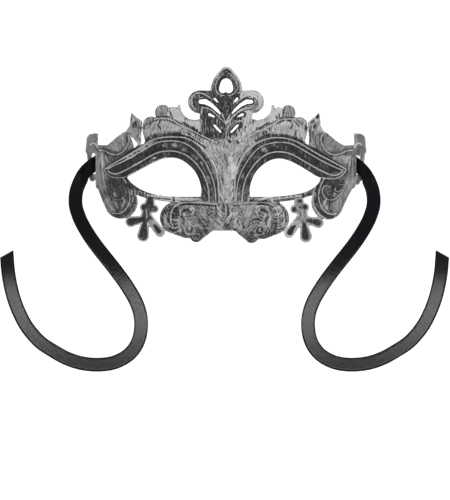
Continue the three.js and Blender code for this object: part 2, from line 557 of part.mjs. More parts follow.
const object = new THREE.Group();
object.name = 'venetian_mask';
const mask = new THREE.Mesh(maskGeometry(), silver);
mask.name = 'mask';
const parts = [mask];
for (const [name, side] of [['ribbon_left', -1], ['ribbon_right', 1]]) {
  const m = new THREE.Mesh(ribbonGeometry(side), satin);
  m.name = name;
  parts.push(m);
}
// the origin goes to the middle of the mask's plan box
mask.geometry.computeBoundingBox();
const middle = mask.geometry.boundingBox.getCenter(new THREE.Vector3());
for (const m of parts) m.geometry.translate(-middle.x, -middle.y, 0);
object.add(...parts);
export default object;
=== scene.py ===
"""Carnival eye mask with its two ribbons, lying face up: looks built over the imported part."""

import math

import bpy
import numpy as np
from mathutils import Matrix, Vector


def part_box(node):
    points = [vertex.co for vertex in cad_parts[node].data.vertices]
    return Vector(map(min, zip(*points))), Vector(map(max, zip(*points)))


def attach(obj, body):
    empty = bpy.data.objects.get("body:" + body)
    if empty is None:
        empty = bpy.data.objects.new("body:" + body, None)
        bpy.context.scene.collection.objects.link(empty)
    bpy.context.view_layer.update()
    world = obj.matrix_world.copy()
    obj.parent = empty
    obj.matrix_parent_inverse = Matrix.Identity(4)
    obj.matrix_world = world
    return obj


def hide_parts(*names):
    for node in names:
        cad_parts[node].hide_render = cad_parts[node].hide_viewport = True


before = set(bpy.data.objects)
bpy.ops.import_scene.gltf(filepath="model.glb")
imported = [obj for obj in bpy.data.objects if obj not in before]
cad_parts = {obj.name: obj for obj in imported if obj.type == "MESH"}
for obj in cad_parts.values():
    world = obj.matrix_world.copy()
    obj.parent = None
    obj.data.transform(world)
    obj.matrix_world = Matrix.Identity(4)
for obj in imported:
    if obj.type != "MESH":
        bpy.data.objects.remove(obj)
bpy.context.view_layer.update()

# ------------------------------------------------------------------ sizes
# The plan is drawn on a sheet: D is the distance from the middle line and R
# the row, downward, both in drawing units.
UNIT = 0.69                      # millimetres in a drawing unit
MIDDLE_ROW = 154.3
WALL = 2.0
HALF_WIDTH = 96.3
SIDE_FALL = 46.0
FALL_POWER = 2.4
FOLD_SLOPE = 0.9
FOLD_IN, FOLD_OUT = (83, 86), (89.5, 92)
BAR_LIP = 1.5
FOOT_FROM = 91.2
NOSE_RISE, NOSE_TOP, NOSE_FULL = 12.0, 14, -52
NOSE_SPREAD = (9.5, 13)
CREST_LEAN, CHIN_LEAN = 0.0022, 0.0030
EDGE_ROUND = 0.45
SIGHT_HEIGHT, SIGHT_ROW, SIGHT_OFF = 2200, 250, -0.69
FRONT_STEP = 0.59                # net of the front, drawing units
BACK_STEP = 1.3


# --------------------------------------------------------- sheet geometry
def ease(a, b, x):
    t = np.clip((x - a) / (b - a), 0, 1)
    return t * t * (3 - 2 * t)


def eased(a, b, x):
    w = b - a
    t = np.clip((x - a) / w, 0, 1)
    return w * (t**3 - t**4 / 2) + np.maximum(0, x - b)


def bar(X, Y, a, b=None):
    if b is None:
        return np.hypot(X - a[0], Y - a[1]) - a[2]
    ex, ey = b[0] - a[0], b[1] - a[1]
    h = np.clip(((X - a[0]) * ex + (Y - a[1]) * ey) / (ex * ex + ey * ey), 0, 1)
    return np.hypot(X - a[0] - h * ex, Y - a[1] - h * ey) - (a[2] + h * (b[2] - a[2]))


def joined(*d):
    out = d[0]
    for e in d[1:]:
        out = np.minimum(out, e)
    return out


def stroke(X, Y, *p):
    return joined(*[bar(X, Y, a, b) for a, b in zip(p[:-1], p[1:])])


def oval(X, Y, cx, cy, rx, ry):
    u, v = X - cx, Y - cy
    k0 = np.hypot(u / rx, v / ry)
    k1 = np.hypot(u / rx**2, v / ry**2)
    return k0 * (k0 - 1) / np.maximum(k1, 1e-9)


def block(X, Y, x0, x1, y0, y1, r):
    qx = np.abs(X - (x0 + x1) / 2) - (x1 - x0) / 2 + r
    qy = np.abs(Y - (y0 + y1) / 2) - (y1 - y0) / 2 + r
    return np.hypot(np.maximum(qx, 0), np.maximum(qy, 0)) + np.minimum(np.maximum(qx, qy), 0) - r


def ogive(X, Y, w, y0, tip):
    h = abs(y0 - tip)
    R = (h * h + w * w) / (2 * w)
    c = R - w
    return np.maximum(np.hypot(X + c, Y - y0) - R, np.hypot(X - c, Y - y0) - R)


def soft(a, b, k):
    h = np.clip(0.5 + 0.5 * (b - a) / k, 0, 1)
    return b * (1 - h) + a * h - k * h * (1 - h)


def bezier(p0, p1, p2, p3, n):
    t = (np.arange(n) / n)[:, None]
    p0, p1, p2, p3 = (np.array(p, float) for p in (p0, p1, p2, p3))
    return (1 - t) ** 3 * p0 + 3 * (1 - t) ** 2 * t * p1 + 3 * (1 - t) * t * t * p2 + t**3 * p3


def within(X, Y, loop):
    d = np.full(X.shape, 1e18)
    inside = np.zeros(X.shape, bool)
    for i in range(len(loop)):
        ax, ay = loop[i - 1]
        bx, by = loop[i]
        ex, ey = bx - ax, by - ay
        h = np.clip(((X - ax) * ex + (Y - ay) * ey) / (ex * ex + ey * ey), 0, 1)
        d = np.minimum(d, (X - ax - h * ex) ** 2 + (Y - ay - h * ey) ** 2)
        inside ^= ((ay > Y) != (by > Y)) & (X < ex * (Y - ay) / (ey if ey else 1e-12) + ax)
    d = np.sqrt(d)
    return np.where(inside, -d, d)


# -------------------------------------------------------- plan of the mask
OUTER, TOP, INNER = (100.0, 177.6), (55.7, 157.2), (24.7, 197.1)
EYE = np.vstack([
    bezier(OUTER, (86, 172), (72, 159), TOP, 16),
    bezier(TOP, (39, 156), (22.7, 176), INNER, 20),
    bezier(INNER, (61, 198.2), (88, 196.5), OUTER, 18),
])


def from_middle(X, R):
    D = np.abs(X)
    t = ease(140, 205, R)
    w = (2.0 * ease(40, 85, D) * (1 - t) + 3.0 * ease(5, 50, D) * t) * (1 - ease(104, 128, D) * (1 - ease(178, 198, R)))
    w = w + 0.5 * ease(190, 205, R) * ease(95, 120, D)
    w = w - 1.1 * np.exp(-(((D - 91) / 8) ** 2) - ((R - 118) / 9) ** 2)
    w = w + 3.6 * ease(226, 234, R) * ease(4, 12, D) * (1 - ease(20, 42, D))
    w = w + 1.6 * np.exp(-(((D - 98) / 16) ** 2) - ((R - 177) / 16) ** 2)
    top = 0.5 * (1 - ease(86, 96, R))
    return D + np.where(X > 0, w - top, top - 0.5 * np.exp(-(((D - 95) / 4) ** 2) - ((R - 117) / 7) ** 2))


def lowered(X, R):
    down = 0.9 * ease(204, 222, R) * ease(2, 14, X) + 0.6 * np.exp(-(((R - 112) / 9) ** 2)) * ease(38, 48, X) * (1 - ease(84, 88, X))
    down = down + 0.9 * np.exp(-(((X - 112) / 7) ** 2) - ((R - 142) / 6) ** 2)
    return R - np.where(X > 0, down, -0.8 * np.exp(-(((X + 108) / 8) ** 2) - ((R - 136) / 7) ** 2))


def shapes(X, R):
    D = from_middle(X, R)
    R = lowered(X, R)
    s = {"D": D, "R": R}
    s["eye"] = within(D, R, EYE)
    s["shell"] = joined(oval(D, R, 58, 130.5, 25.2, 14.0), bar(D, R, (74.6, 125.1, 8.7)), bar(D, R, (76, 128, 7.6), (75.6, 139, 7.2)))
    s["leaf"] = bar(D, R, (63.3, 112.3, 7.7), (61, 122, 8))
    s["scroll"] = bar(D, R, (26.5, 101.9, 11.6), (10, 103.2, 12.6))
    s["drop"] = joined(ogive(D, R, 15.8, 91, 66.9), bar(D, R, (0, 74.4, 7.5), (0, 77.5, 9.4)))
    s["band"] = stroke(D, R, (120, 169.6, 1.5), (108, 166.5, 7.2), (88, 156.5, 9.6), (70, 149.5, 10.2), (56, 147, 10.6),
                       (38, 151, 10.5), (24, 166, 9.5), (17, 184, 8.5), (15.5, 198, 8.5))
    s["cheek"] = stroke(D, R, (117, 172, 14.4), (114.2, 183.5, 15.0), (109.2, 195.4, 15.5), (105.0, 202.1, 16.7))
    s["nosecheek"] = joined(bar(D, R, (50.0, 217.9, 16.2), (38, 222.6, 15.8)), bar(D, R, (29.7, 235.9, 6.4), (17, 225.4, 6.6)),
                            bar(D, R, (36, 214, 13), (26, 212, 12)))
    s["fan"] = bar(D, R, (97.8, 141.2, 9.8), (113, 158, 14.1))
    s["horn"] = joined(bar(D, R, (53.2, 111.1, 4.6), (52, 118, 5)), bar(D, R, (46.9, 106.0, 1.5), (46.6, 116, 5.6)))
    plate = joined(bar(D, R, (46, 132, 13), (8, 136, 18)), bar(D, R, (44, 119.5, 6)), bar(D, R, (24, 122, 5.6)))
    brow = np.maximum(joined(plate, s["shell"], s["leaf"], s["horn"]), -bar(D, R, (31.5, 105.8, 14.0)))
    crest = joined(s["drop"], s["scroll"], block(D, R, -30, 26.3, 96, 128, 1))
    s["lowrim"] = stroke(D, R, (98, 183, 3.2), (88, 192.9, 2.6), (77, 196.9, 2.2), (66, 198.6, 2.2), (54, 199.4, 2.7), (26, 202, 4.5))
    surround = joined(s["band"], s["eye"] - 3.6, bar(D, R, (26, 146, 8), (18, 158, 8)), bar(D, R, (94, 169.2, 2.6), (84, 165.4, 2.2)), s["lowrim"])
    nose = joined(block(D, R, -30, 20, 118, 230.8, 1), bar(D, R, (30, 208, 6), (14, 222, 8)), s["nosecheek"])
    s["finial"] = joined(bar(D, R, (93.7, 113.6, 0.7), (92.2, 122.6, 3.9)), bar(D, R, (92.4, 116, 1.2), (86.8, 122.2, 2.6)),
                         bar(D, R, (86.8, 123.2, 3.0), (88.5, 130, 4.6)), bar(D, R, (89.6, 128, 5), (87.1, 147, 2.3)),
                         bar(D, R, (94.0, 128, 3.3), (97, 134, 4.0)))
    s["post"] = joined(bar(D, R, (133.9, 139.4, 5.6), (134.3, 150, 6.3)), block(D, R, 127.9, 133, 133.3, 141, 0.8))
    temple = joined(s["cheek"], s["fan"], block(D, R, 92, 130.4, 150, 189, 3), s["post"],
                    bar(D, R, (128, 150.2, 5.3), (118, 150.5, 5.2)), bar(D, R, (135.9, 150, 3.6), (133.6, 178.6, 2.9)))
    stem = bar(D, R, (75.7, 199, 4.4), (76.8, 208, 5.7))
    arms = soft(bar(D, R, (81.8, 207.4, 4.4), (77, 208, 4.4)), bar(D, R, (71.4, 208.8, 4.1), (76, 208, 4.2)), 1.4)
    waist = bar(D, R, (78.5, 209.5, 5.0), (80.8, 216.5, 4.4))
    leaves = soft(soft(bar(D, R, (80, 218.6, 3.0), (95.3, 221.8, 5.4)), bar(D, R, (80.4, 219, 2.9), (82.9, 235.5, 6.2)), 2.0),
                  bar(D, R, (78.4, 216, 4.0), (66.1, 232.3, 4.9)), 2.0)
    s["pendant"] = soft(soft(soft(stem, arms, 1.5), waist, 1.5), leaves, 2)
    h, wider = D + np.where(X < 0, 0.15, 0.75), np.where(X < 0, 0, 0.5)
    s["heart"] = joined(np.maximum(ogive(h, R, 7.4, 88.8, 78.2), R - 89.3), bar(h, R, (0, 84.6, 6.3)), bar(h, R, (3.5, 89.2, 3.9)))
    s["slots"] = joined(
        stroke(D, R, (25.4, 101.7, 2.2), (20.6, 101.7, 2.7), (14.6, 105.1, 2.0), (9.2, 109.9, 1.65), (6.0, 113.5, 1.0)),
        bar(D, R, (11.2, 98.8, 1.3), (7.5, 103.2, 0.5)) - wider, bar(D, R, (16.6, 114.5, 1.5), (11.6, 116.8, 0.8)) - 0.5 * wider,
        bar(D, R, (11.8, 125.3, 1.1), (5.3, 132.0, 1.05)) - 0.7 * wider) + np.where(X < 0, 0.15, 0.45)
    side_slots = joined(
        np.where(X < 0, stroke(D, R, (95.0, 136.2, 0.4), (90.5, 144.2, 2.0), (91.6, 147.6, 0.4)), 99),
        bar(D, R, (83.5, 133.2, 0.4), (82.6, 141.0, 1.6)),
        np.where(X < 0, bar(D, R, (132.4, 154.8, 1.7), (131.9, 172.5, 1.75)), bar(D, R, (132.2, 157.8, 1.9), (131.9, 172.9, 1.8))))
    inner = (1 - ease(30, 40, D)) * ease(160, 170, R) * (1 - ease(190, 194, R))
    narrower = 0.9 * ease(30, 55, D) * (1 - ease(174, 186, R)) - 0.7 * ease(176, 184, R) * ease(66, 84, D)
    outer = ease(70, 92, D)
    cut = within(D - np.where(X < 0, 0, 0.7) * outer, R + np.where(X < 0, 0.7, 0) * outer, EYE)
    s["eye"] = cut + 0.5 - 0.6 * inner + np.where(X < 0, 0, narrower)
    cuts = joined(s["eye"], s["heart"], s["slots"], side_slots)
    tab = np.where(X < 0, 99, bar(D, R, (132.6, 178, 3.0), (131.8, 182.6, 2.3)))
    s["plan"] = np.maximum(joined(brow, crest, surround, nose, s["finial"], temple, s["pendant"], tab), -cuts)
    return s


def plan(X, R):
    return shapes(X, R)["plan"]


# ----------------------------------------------------- form over the plan
def shell_height(u, v):
    a = np.abs(u)
    side = SIDE_FALL * (a / HALF_WIDTH) ** FALL_POWER
    fold = FOLD_SLOPE * (eased(*FOLD_IN, a) - eased(*FOLD_OUT, a))
    full = FOLD_SLOPE * (eased(*FOLD_IN, HALF_WIDTH) - eased(*FOLD_OUT, HALF_WIDTH))
    grown = ease(NOSE_TOP, NOSE_FULL, v)
    spread = NOSE_SPREAD[0] + (NOSE_SPREAD[1] - NOSE_SPREAD[0]) * grown
    rise = NOSE_RISE * grown * np.exp(-a * a / (2 * spread * spread))
    lean = CREST_LEAN * np.maximum(0, v - 12) ** 2 + CHIN_LEAN * np.maximum(0, -v - 25) ** 2
    return SIDE_FALL + full + BAR_LIP - side - fold + rise - lean


def shell_slope(u, v):
    e = 0.05
    return np.hypot((shell_height(u + e, v) - shell_height(u - e, v)) / (2 * e),
                    (shell_height(u, v + e) - shell_height(u, v - e)) / (2 * e))


def pad(s, w, h):
    return h * ease(0, w, -s * UNIT)


def carving(s):
    D, R = s["D"], s["R"]
    out = pad(np.maximum(s["band"], R - 200), 2.6, 1.5)
    for p in (pad(s["shell"], 6.0, 2.0), pad(s["leaf"], 4.0, 1.4), pad(s["scroll"], 4.0, 1.2),
              pad(np.maximum(s["drop"], -bar(D, R, (0, 87.4, 9.5))), 2.2, 1.1), pad(bar(D, R, (0, 122, 4), (0, 145, 9)), 4.0, 1.0),
              pad(s["cheek"], 7.0, 1.6), pad(s["nosecheek"], 8.0, 2.2), pad(s["fan"], 5.0, 1.2),
              pad(s["finial"], 2.4, 1.0), pad(s["pendant"], 2.4, 0.9)):
        out = np.maximum(out, p)
    return out


def drawn_in(u, v, z):
    k = 1 - z / SIGHT_HEIGHT
    sy = (MIDDLE_ROW - SIGHT_ROW) * UNIT
    return np.stack([SIGHT_OFF + (u - SIGHT_OFF) * k, sy + (v - sy) * k, z], -1)


# ------------------------------------------------------- ridges and paint
def smooth_line(pts, n=7):
    """A smooth run through a few named points."""
    p = np.array(pts, float)
    q = np.vstack([2 * p[0] - p[1], p, 2 * p[-1] - p[-2]])
    out = []
    for i in range(1, len(q) - 2):
        t = np.linspace(0, 1, n, endpoint=False)[:, None]
        a, b, c, d = q[i - 1], q[i], q[i + 1], q[i + 2]
        out.append(0.5 * ((2 * b) + (-a + c) * t + (2 * a - 5 * b + 4 * c - d) * t**2 + (-a + 3 * b - 3 * c + d) * t**3))
    out.append(p[-1:])
    return np.vstack(out)


def arc(cx, cy, r0, a0, a1, r1=None, n=22):
    """Part of a ring or, with a second radius, of a spiral; angles in degrees, rows downward."""
    t = np.linspace(0, 1, n)
    a = np.radians(a0 + (a1 - a0) * t)
    r = r0 + ((r1 if r1 is not None else r0) - r0) * t
    return np.stack([cx + r * np.cos(a), cy + r * np.sin(a)], -1)


def to_line(D, R, line):
    """Distance to a run of points, and how far along it the nearest place is (0..1)."""
    best = np.full(D.shape, 1e9)
    along = np.zeros(D.shape)
    n = len(line) - 1
    lo, hi = line.min(0) - 6, line.max(0) + 6
    near = (D > lo[0]) & (D < hi[0]) & (R > lo[1]) & (R < hi[1])
    d0, r0 = D[near], R[near]
    b, al = best[near], along[near]
    for i in range(n):
        ax, ay = line[i]
        ex, ey = line[i + 1] - line[i]
        h = np.clip(((d0 - ax) * ex + (r0 - ay) * ey) / max(ex * ex + ey * ey, 1e-9), 0, 1)
        e = np.hypot(d0 - ax - h * ex, r0 - ay - h * ey)
        m = e < b
        b = np.where(m, e, b)
        al = np.where(m, (i + h) / n, al)
    best[near], along[near] = b, al
    return best, along


def on_right(pts):
    """A smooth run on the right half, its points given from the middle line."""
    p = smooth_line(pts)
    return np.stack([from_middle(p[:, 0], p[:, 1]), lowered(p[:, 0], p[:, 1])], -1)


# each line: points, half width, height in mm, how silver it is on the left
# and on the right half, and the half it lies on where that is only one
LINES = [
    # rim over the eye, left: outermost, second, inner ridge, lower leaf edge
    (smooth_line([(121, 169.3), (113.5, 164.3), (105.2, 159.5), (96.8, 154.3), (90.2, 150.4), (84.3, 146.5), (79.3, 143.2), (74.3, 140.2), (67.7, 138.2),
                  (61, 137.3), (54.3, 137), (47.7, 137.1), (42.7, 137.6), (38.5, 138.8), (34.3, 140.6), (30.2, 143.3), (26, 146.9), (22.4, 150.6),
                  (18.5, 155), (15.2, 159.7), (12.2, 165.2), (9.9, 171), (8.5, 178), (7.8, 186.3), (7.2, 194.7), (6.8, 203)]), 0.72, 0.5, 0.85, 0, -1),
    (smooth_line([(118.1, 169), (113.5, 166.3), (105.2, 162.5), (98.5, 159.4), (92.7, 155.9), (88.5, 153.4), (82.7, 150), (77.7, 147.2), (72.7, 144.4),
                  (67.7, 142.3), (62.7, 141.3), (57.7, 140.9), (52.7, 140.9), (47.7, 141.5), (42.7, 142.8), (37.7, 145.1), (33.5, 148.1), (29.3, 152),
                  (25.2, 156.6), (21.8, 161.2), (18.5, 166.5), (15.9, 172.2), (13.5, 178.4), (11.8, 184.7), (10.7, 191.3), (10.3, 200.5)]), 0.72, 0.45, 0.8, 0, -1),
    (smooth_line([(118.1, 170.8), (115.2, 173), (111.2, 173.9), (106, 172.7), (101, 170.4), (95.2, 167.4), (89.3, 164.2), (84.3, 161.2), (79.3, 158.2),
                  (74.3, 155.4), (69.3, 153), (64.3, 151.7), (59.3, 151.1), (54.3, 151), (49.3, 151.7), (44.3, 153.2), (39.6, 155.4), (35.2, 158.6),
                  (31, 162.4), (27.7, 166.4), (24.5, 171.3), (21.8, 176.5), (19.4, 182.2), (17.9, 188), (17.2, 194.7), (16.7, 201.3)]), 0.72, 0.5, 0.8, 0, -1),
    (smooth_line([(121.6, 170), (118.7, 174), (114.4, 176.8), (109.2, 177.9), (103.1, 177.5), (99.6, 176.6)]), 0.62, 0.35, 0.65, 0, -1),
    # and right
    (on_right([(120, 169.4), (114.3, 166), (106, 161.5), (97.7, 157.2), (89.3, 152.6), (81, 147.6), (72.7, 142.7), (66, 139.9), (59.3, 138.3),
                  (52.7, 137.7), (46, 138), (39.3, 139.5), (33.5, 141.8), (28.5, 144.8), (23.5, 149), (19.3, 153.8), (15.8, 159), (12.7, 165), (10.4, 171.3),
                  (9.2, 178), (8.9, 186.3), (8.9, 194.7), (8.9, 202.5)]), 0.72, 0.5, 0, 0.85, 1),
    (on_right([(117.3, 170.3), (112.7, 168.7), (106, 165.8), (97.7, 161.7), (89.3, 157.1), (81, 152.2), (76.4, 149.5), (71, 146.5), (66, 144.1),
                  (61, 142.8), (56, 142.3), (51, 142.4), (46, 143), (41, 144.2), (36, 146.1), (31.8, 148.9), (27.7, 152.8), (23.9, 157.3), (20.2, 163),
                  (17, 168.7), (14.3, 174.2), (12.4, 180), (11.2, 186.6), (10.6, 194), (10.4, 201)]), 0.62, 0.45, 0, 0.85, 1),
    (on_right([(116.4, 171.4), (113.5, 173.6), (109.3, 175.2), (104.3, 174.6), (97.7, 171.9), (89.3, 167.5), (81, 162.9), (74.3, 158.9), (67.7, 155.3),
                  (62.7, 153.3), (57.7, 152.2), (52.7, 151.8), (47.7, 152.2), (42.7, 153.5), (39, 155.2), (35.2, 157.9), (31, 161.6), (27.3, 166.1),
                  (23.9, 171.2), (21, 176.4), (18.7, 182.2), (17.3, 188), (16.5, 194.7), (16.1, 201.3)]), 0.72, 0.5, 0, 0.85, 1),
    (on_right([(120, 170.1), (117, 174.4), (113.5, 177.1), (109.3, 178.6), (103.5, 178.7), (97.7, 178), (95.2, 177.2)]), 0.62, 0.35, 0, 0.8, 1),
    # shell ridge running down to the bridge of the nose, and the strip below it
    (smooth_line([(80.0, 127.5), (76, 122.6), (71.2, 119.2), (61.5, 118.6), (53.7, 120.6), (46.9, 124.5), (37.2, 129.4), (27.6, 134.2), (17.9, 138.6), (9, 142.8)]), 0.7, 0.5, 0.92, 0.78),
    (smooth_line([(43.5, 130.6), (44.6, 132.4), (43, 134), (35.3, 137.2), (25.6, 142.2), (20, 145.6)]), 0.55, 0.3, 0.95, 0.8),
    (smooth_line([(43.5, 130.6), (40, 130.4), (33, 133.5), (25, 137.6), (17.5, 141.6)]), 0.45, 0.2, 0.8, 0.7),
    # crest: ring round the scroll, and the two lines that meet in a V
    (smooth_line([(30, 109.8), (33.0, 107), (34.2, 103.4), (34.3, 98.5), (31.9, 94.7), (27.6, 92.9), (21.7, 94.2), (15.9, 98.1), (10.1, 104.3), (5.3, 112.1), (1.4, 119.9), (0, 123)]), 0.8, 0.5, 0.8, 0.9),
    (smooth_line([(24.8, 107.4), (17.9, 108.6), (12, 112.1), (8.2, 116), (3.3, 120.8), (0, 124.2)]), 0.75, 0.45, 0.75, 0.9),
    (smooth_line([(0, 124), (0, 131), (0, 138), (0, 146)]), 0.6, 0.35, 0.6, 0.6),
    (arc(0, 108.4, 2.9, -250, 70), 0.5, 0.3, 0.6, 0.6),
    # rings in the drop
    (smooth_line([(0, 71.2), (3.6, 72.6), (7.2, 76.6), (9.6, 81.4), (10.8, 86.6), (9.4, 92.0), (5.4, 94.9), (2.0, 95.6)]), 0.6, 0.4, 0.78, 0.78),
    (smooth_line([(0, 68.4), (3.4, 69.2), (7.2, 72.8), (11.2, 78.6), (13.7, 84.6), (14.6, 90.6)]), 0.7, 0.35, 0.6, 0.85),
    # temple fan
    (smooth_line([(127.4, 150.1), (121.3, 150.7), (117, 153.2), (110, 154.7), (104, 152.3), (99.6, 147.1), (97, 140.1), (97.8, 134.9)]), 0.7, 0.4, 0.75, 0.8),
    # cheek lobe
    (smooth_line([(103.1, 177.9), (100.5, 181.8), (97.9, 187.8), (96.2, 193), (96.0, 198.4), (97.9, 205.3), (102, 211), (108, 213.8), (113.6, 213.0)]), 0.7, 0.35, 0.75, 0.8),
    (smooth_line([(108.3, 187), (104, 185.7), (100.5, 188.7), (100.1, 193), (102.2, 197.4), (106.6, 200), (111.8, 199.1), (116.1, 195.7), (120.5, 189.6)]), 0.6, 0.3, 0.5, 0.75),
    (smooth_line([(118.7, 189.6), (115.3, 191.8), (112.2, 190), (113.2, 187.2)]), 0.5, 0.25, 0.4, 0.7),
    (smooth_line([(120.9, 185.2), (115.7, 184.4)]), 0.5, 0.2, 0.4, 0.6),
    (arc(107, 192.5, 2.6, 40, 330, 1.2), 0.5, 0.25, 0.35, 0.6),
    # nose cheek: top ridge sweeping down the outer side, and its scrollwork
    (smooth_line([(8.6, 204.3), (21.6, 202.8), (34.6, 202.2), (43.3, 202.6), (49.3, 205.2), (53.8, 210), (55.4, 217), (54.2, 224), (50.5, 229)]), 0.8, 0.5, 0.85, 0.72),
    (arc(39, 212.5, 7.2, -30, 300, 4.6), 0.55, 0.32, 0.75, 0.7),
    (arc(40, 213.5, 3.2, 0, 250, 1.6), 0.5, 0.3, 0.7, 0.7),
    (arc(37, 228.5, 5.8, 30, 330, 3.4), 0.55, 0.32, 0.75, 0.7),
    (arc(37.5, 228.6, 2.4, 0, 300, 1.4), 0.5, 0.3, 0.7, 0.7),
    (arc(23.5, 221.5, 5.4, 90, 400, 3.0), 0.55, 0.32, 0.75, 0.7),
    (arc(15.5, 212.5, 4.4, 60, 360, 2.4), 0.5, 0.3, 0.7, 0.7),
    (smooth_line([(47.5, 208), (50.2, 214), (50.0, 221), (46.5, 227.5)]), 0.5, 0.25, 0.5, 0.55),
    (arc(29.5, 236, 3.8, 20, 320, 2.2), 0.5, 0.3, 0.6, 0.6),
    (smooth_line([(28.5, 208.5), (29.5, 213), (27.5, 217.5)]), 0.5, 0.25, 0.6, 0.6),
    # bud in the middle, under the bridge
    (smooth_line([(0, 200.5), (2.8, 205), (3.2, 210), (0.4, 214.5)]), 0.6, 0.35, 0.7, 0.7),
    (smooth_line([(0, 217), (3.6, 219.5), (7.5, 217), (8.4, 212.4)]), 0.5, 0.3, 0.6, 0.6),
    (arc(0, 226.2, 2.6, 0, 180), 0.5, 0.3, 0.6, 0.6),
    # finial and pendant veins
    (smooth_line([(93.2, 116), (94.2, 121), (91.4, 127), (88.6, 134), (87.5, 141)]), 0.5, 0.25, 0.5, 0.5),
    (smooth_line([(86, 122.6), (88.2, 127.5), (88.4, 133)]), 0.5, 0.25, 0.5, 0.5),
]
# silver flecks in the channel of the rim: place, radius and how silver
FLECKS = [(-61.8, 145.8, 2.3, 0.5), (-51.5, 145.2, 3.0, 0.6), (-46.6, 145.0, 2.0, 0.3), (-42, 149.8, 2.2, 0.42), (-38.5, 151.2, 2.0, 0.34), (-33.6, 156.2, 2.6, 0.4), (-29.4, 158.6, 2.2, 0.34),
          (-23.6, 163.0, 2.6, 0.42), (-22, 168.8, 2.4, 0.4), (-17.6, 177.4, 2.4, 0.44), (-16.2, 182.6, 2.4, 0.44), (-15.2, 190.2, 2.4, 0.38), (-14.6, 197.5, 2.4, 0.42),
          (37.6, 149.2, 3.2, 0.6), (41.0, 151.8, 1.8, 0.5), (47.6, 144.6, 2.2, 0.55), (51.2, 146.6, 2.0, 0.4), (31.8, 157.6, 2.4, 0.42), (26.8, 156.2, 1.8, 0.34),
          (21.6, 168.2, 2.2, 0.2), (17.2, 176.6, 2.6, 0.44), (14.6, 186.4, 2.4, 0.44), (13.4, 193.6, 2.4, 0.44), (13.2, 199.6, 2.2, 0.4)]
BEADS = [(40.1, 131.4, 1.4), (33.0, 134.6, 1.2), (27.8, 137.4, 1.3), (24.6, 140.0, 1.0)]

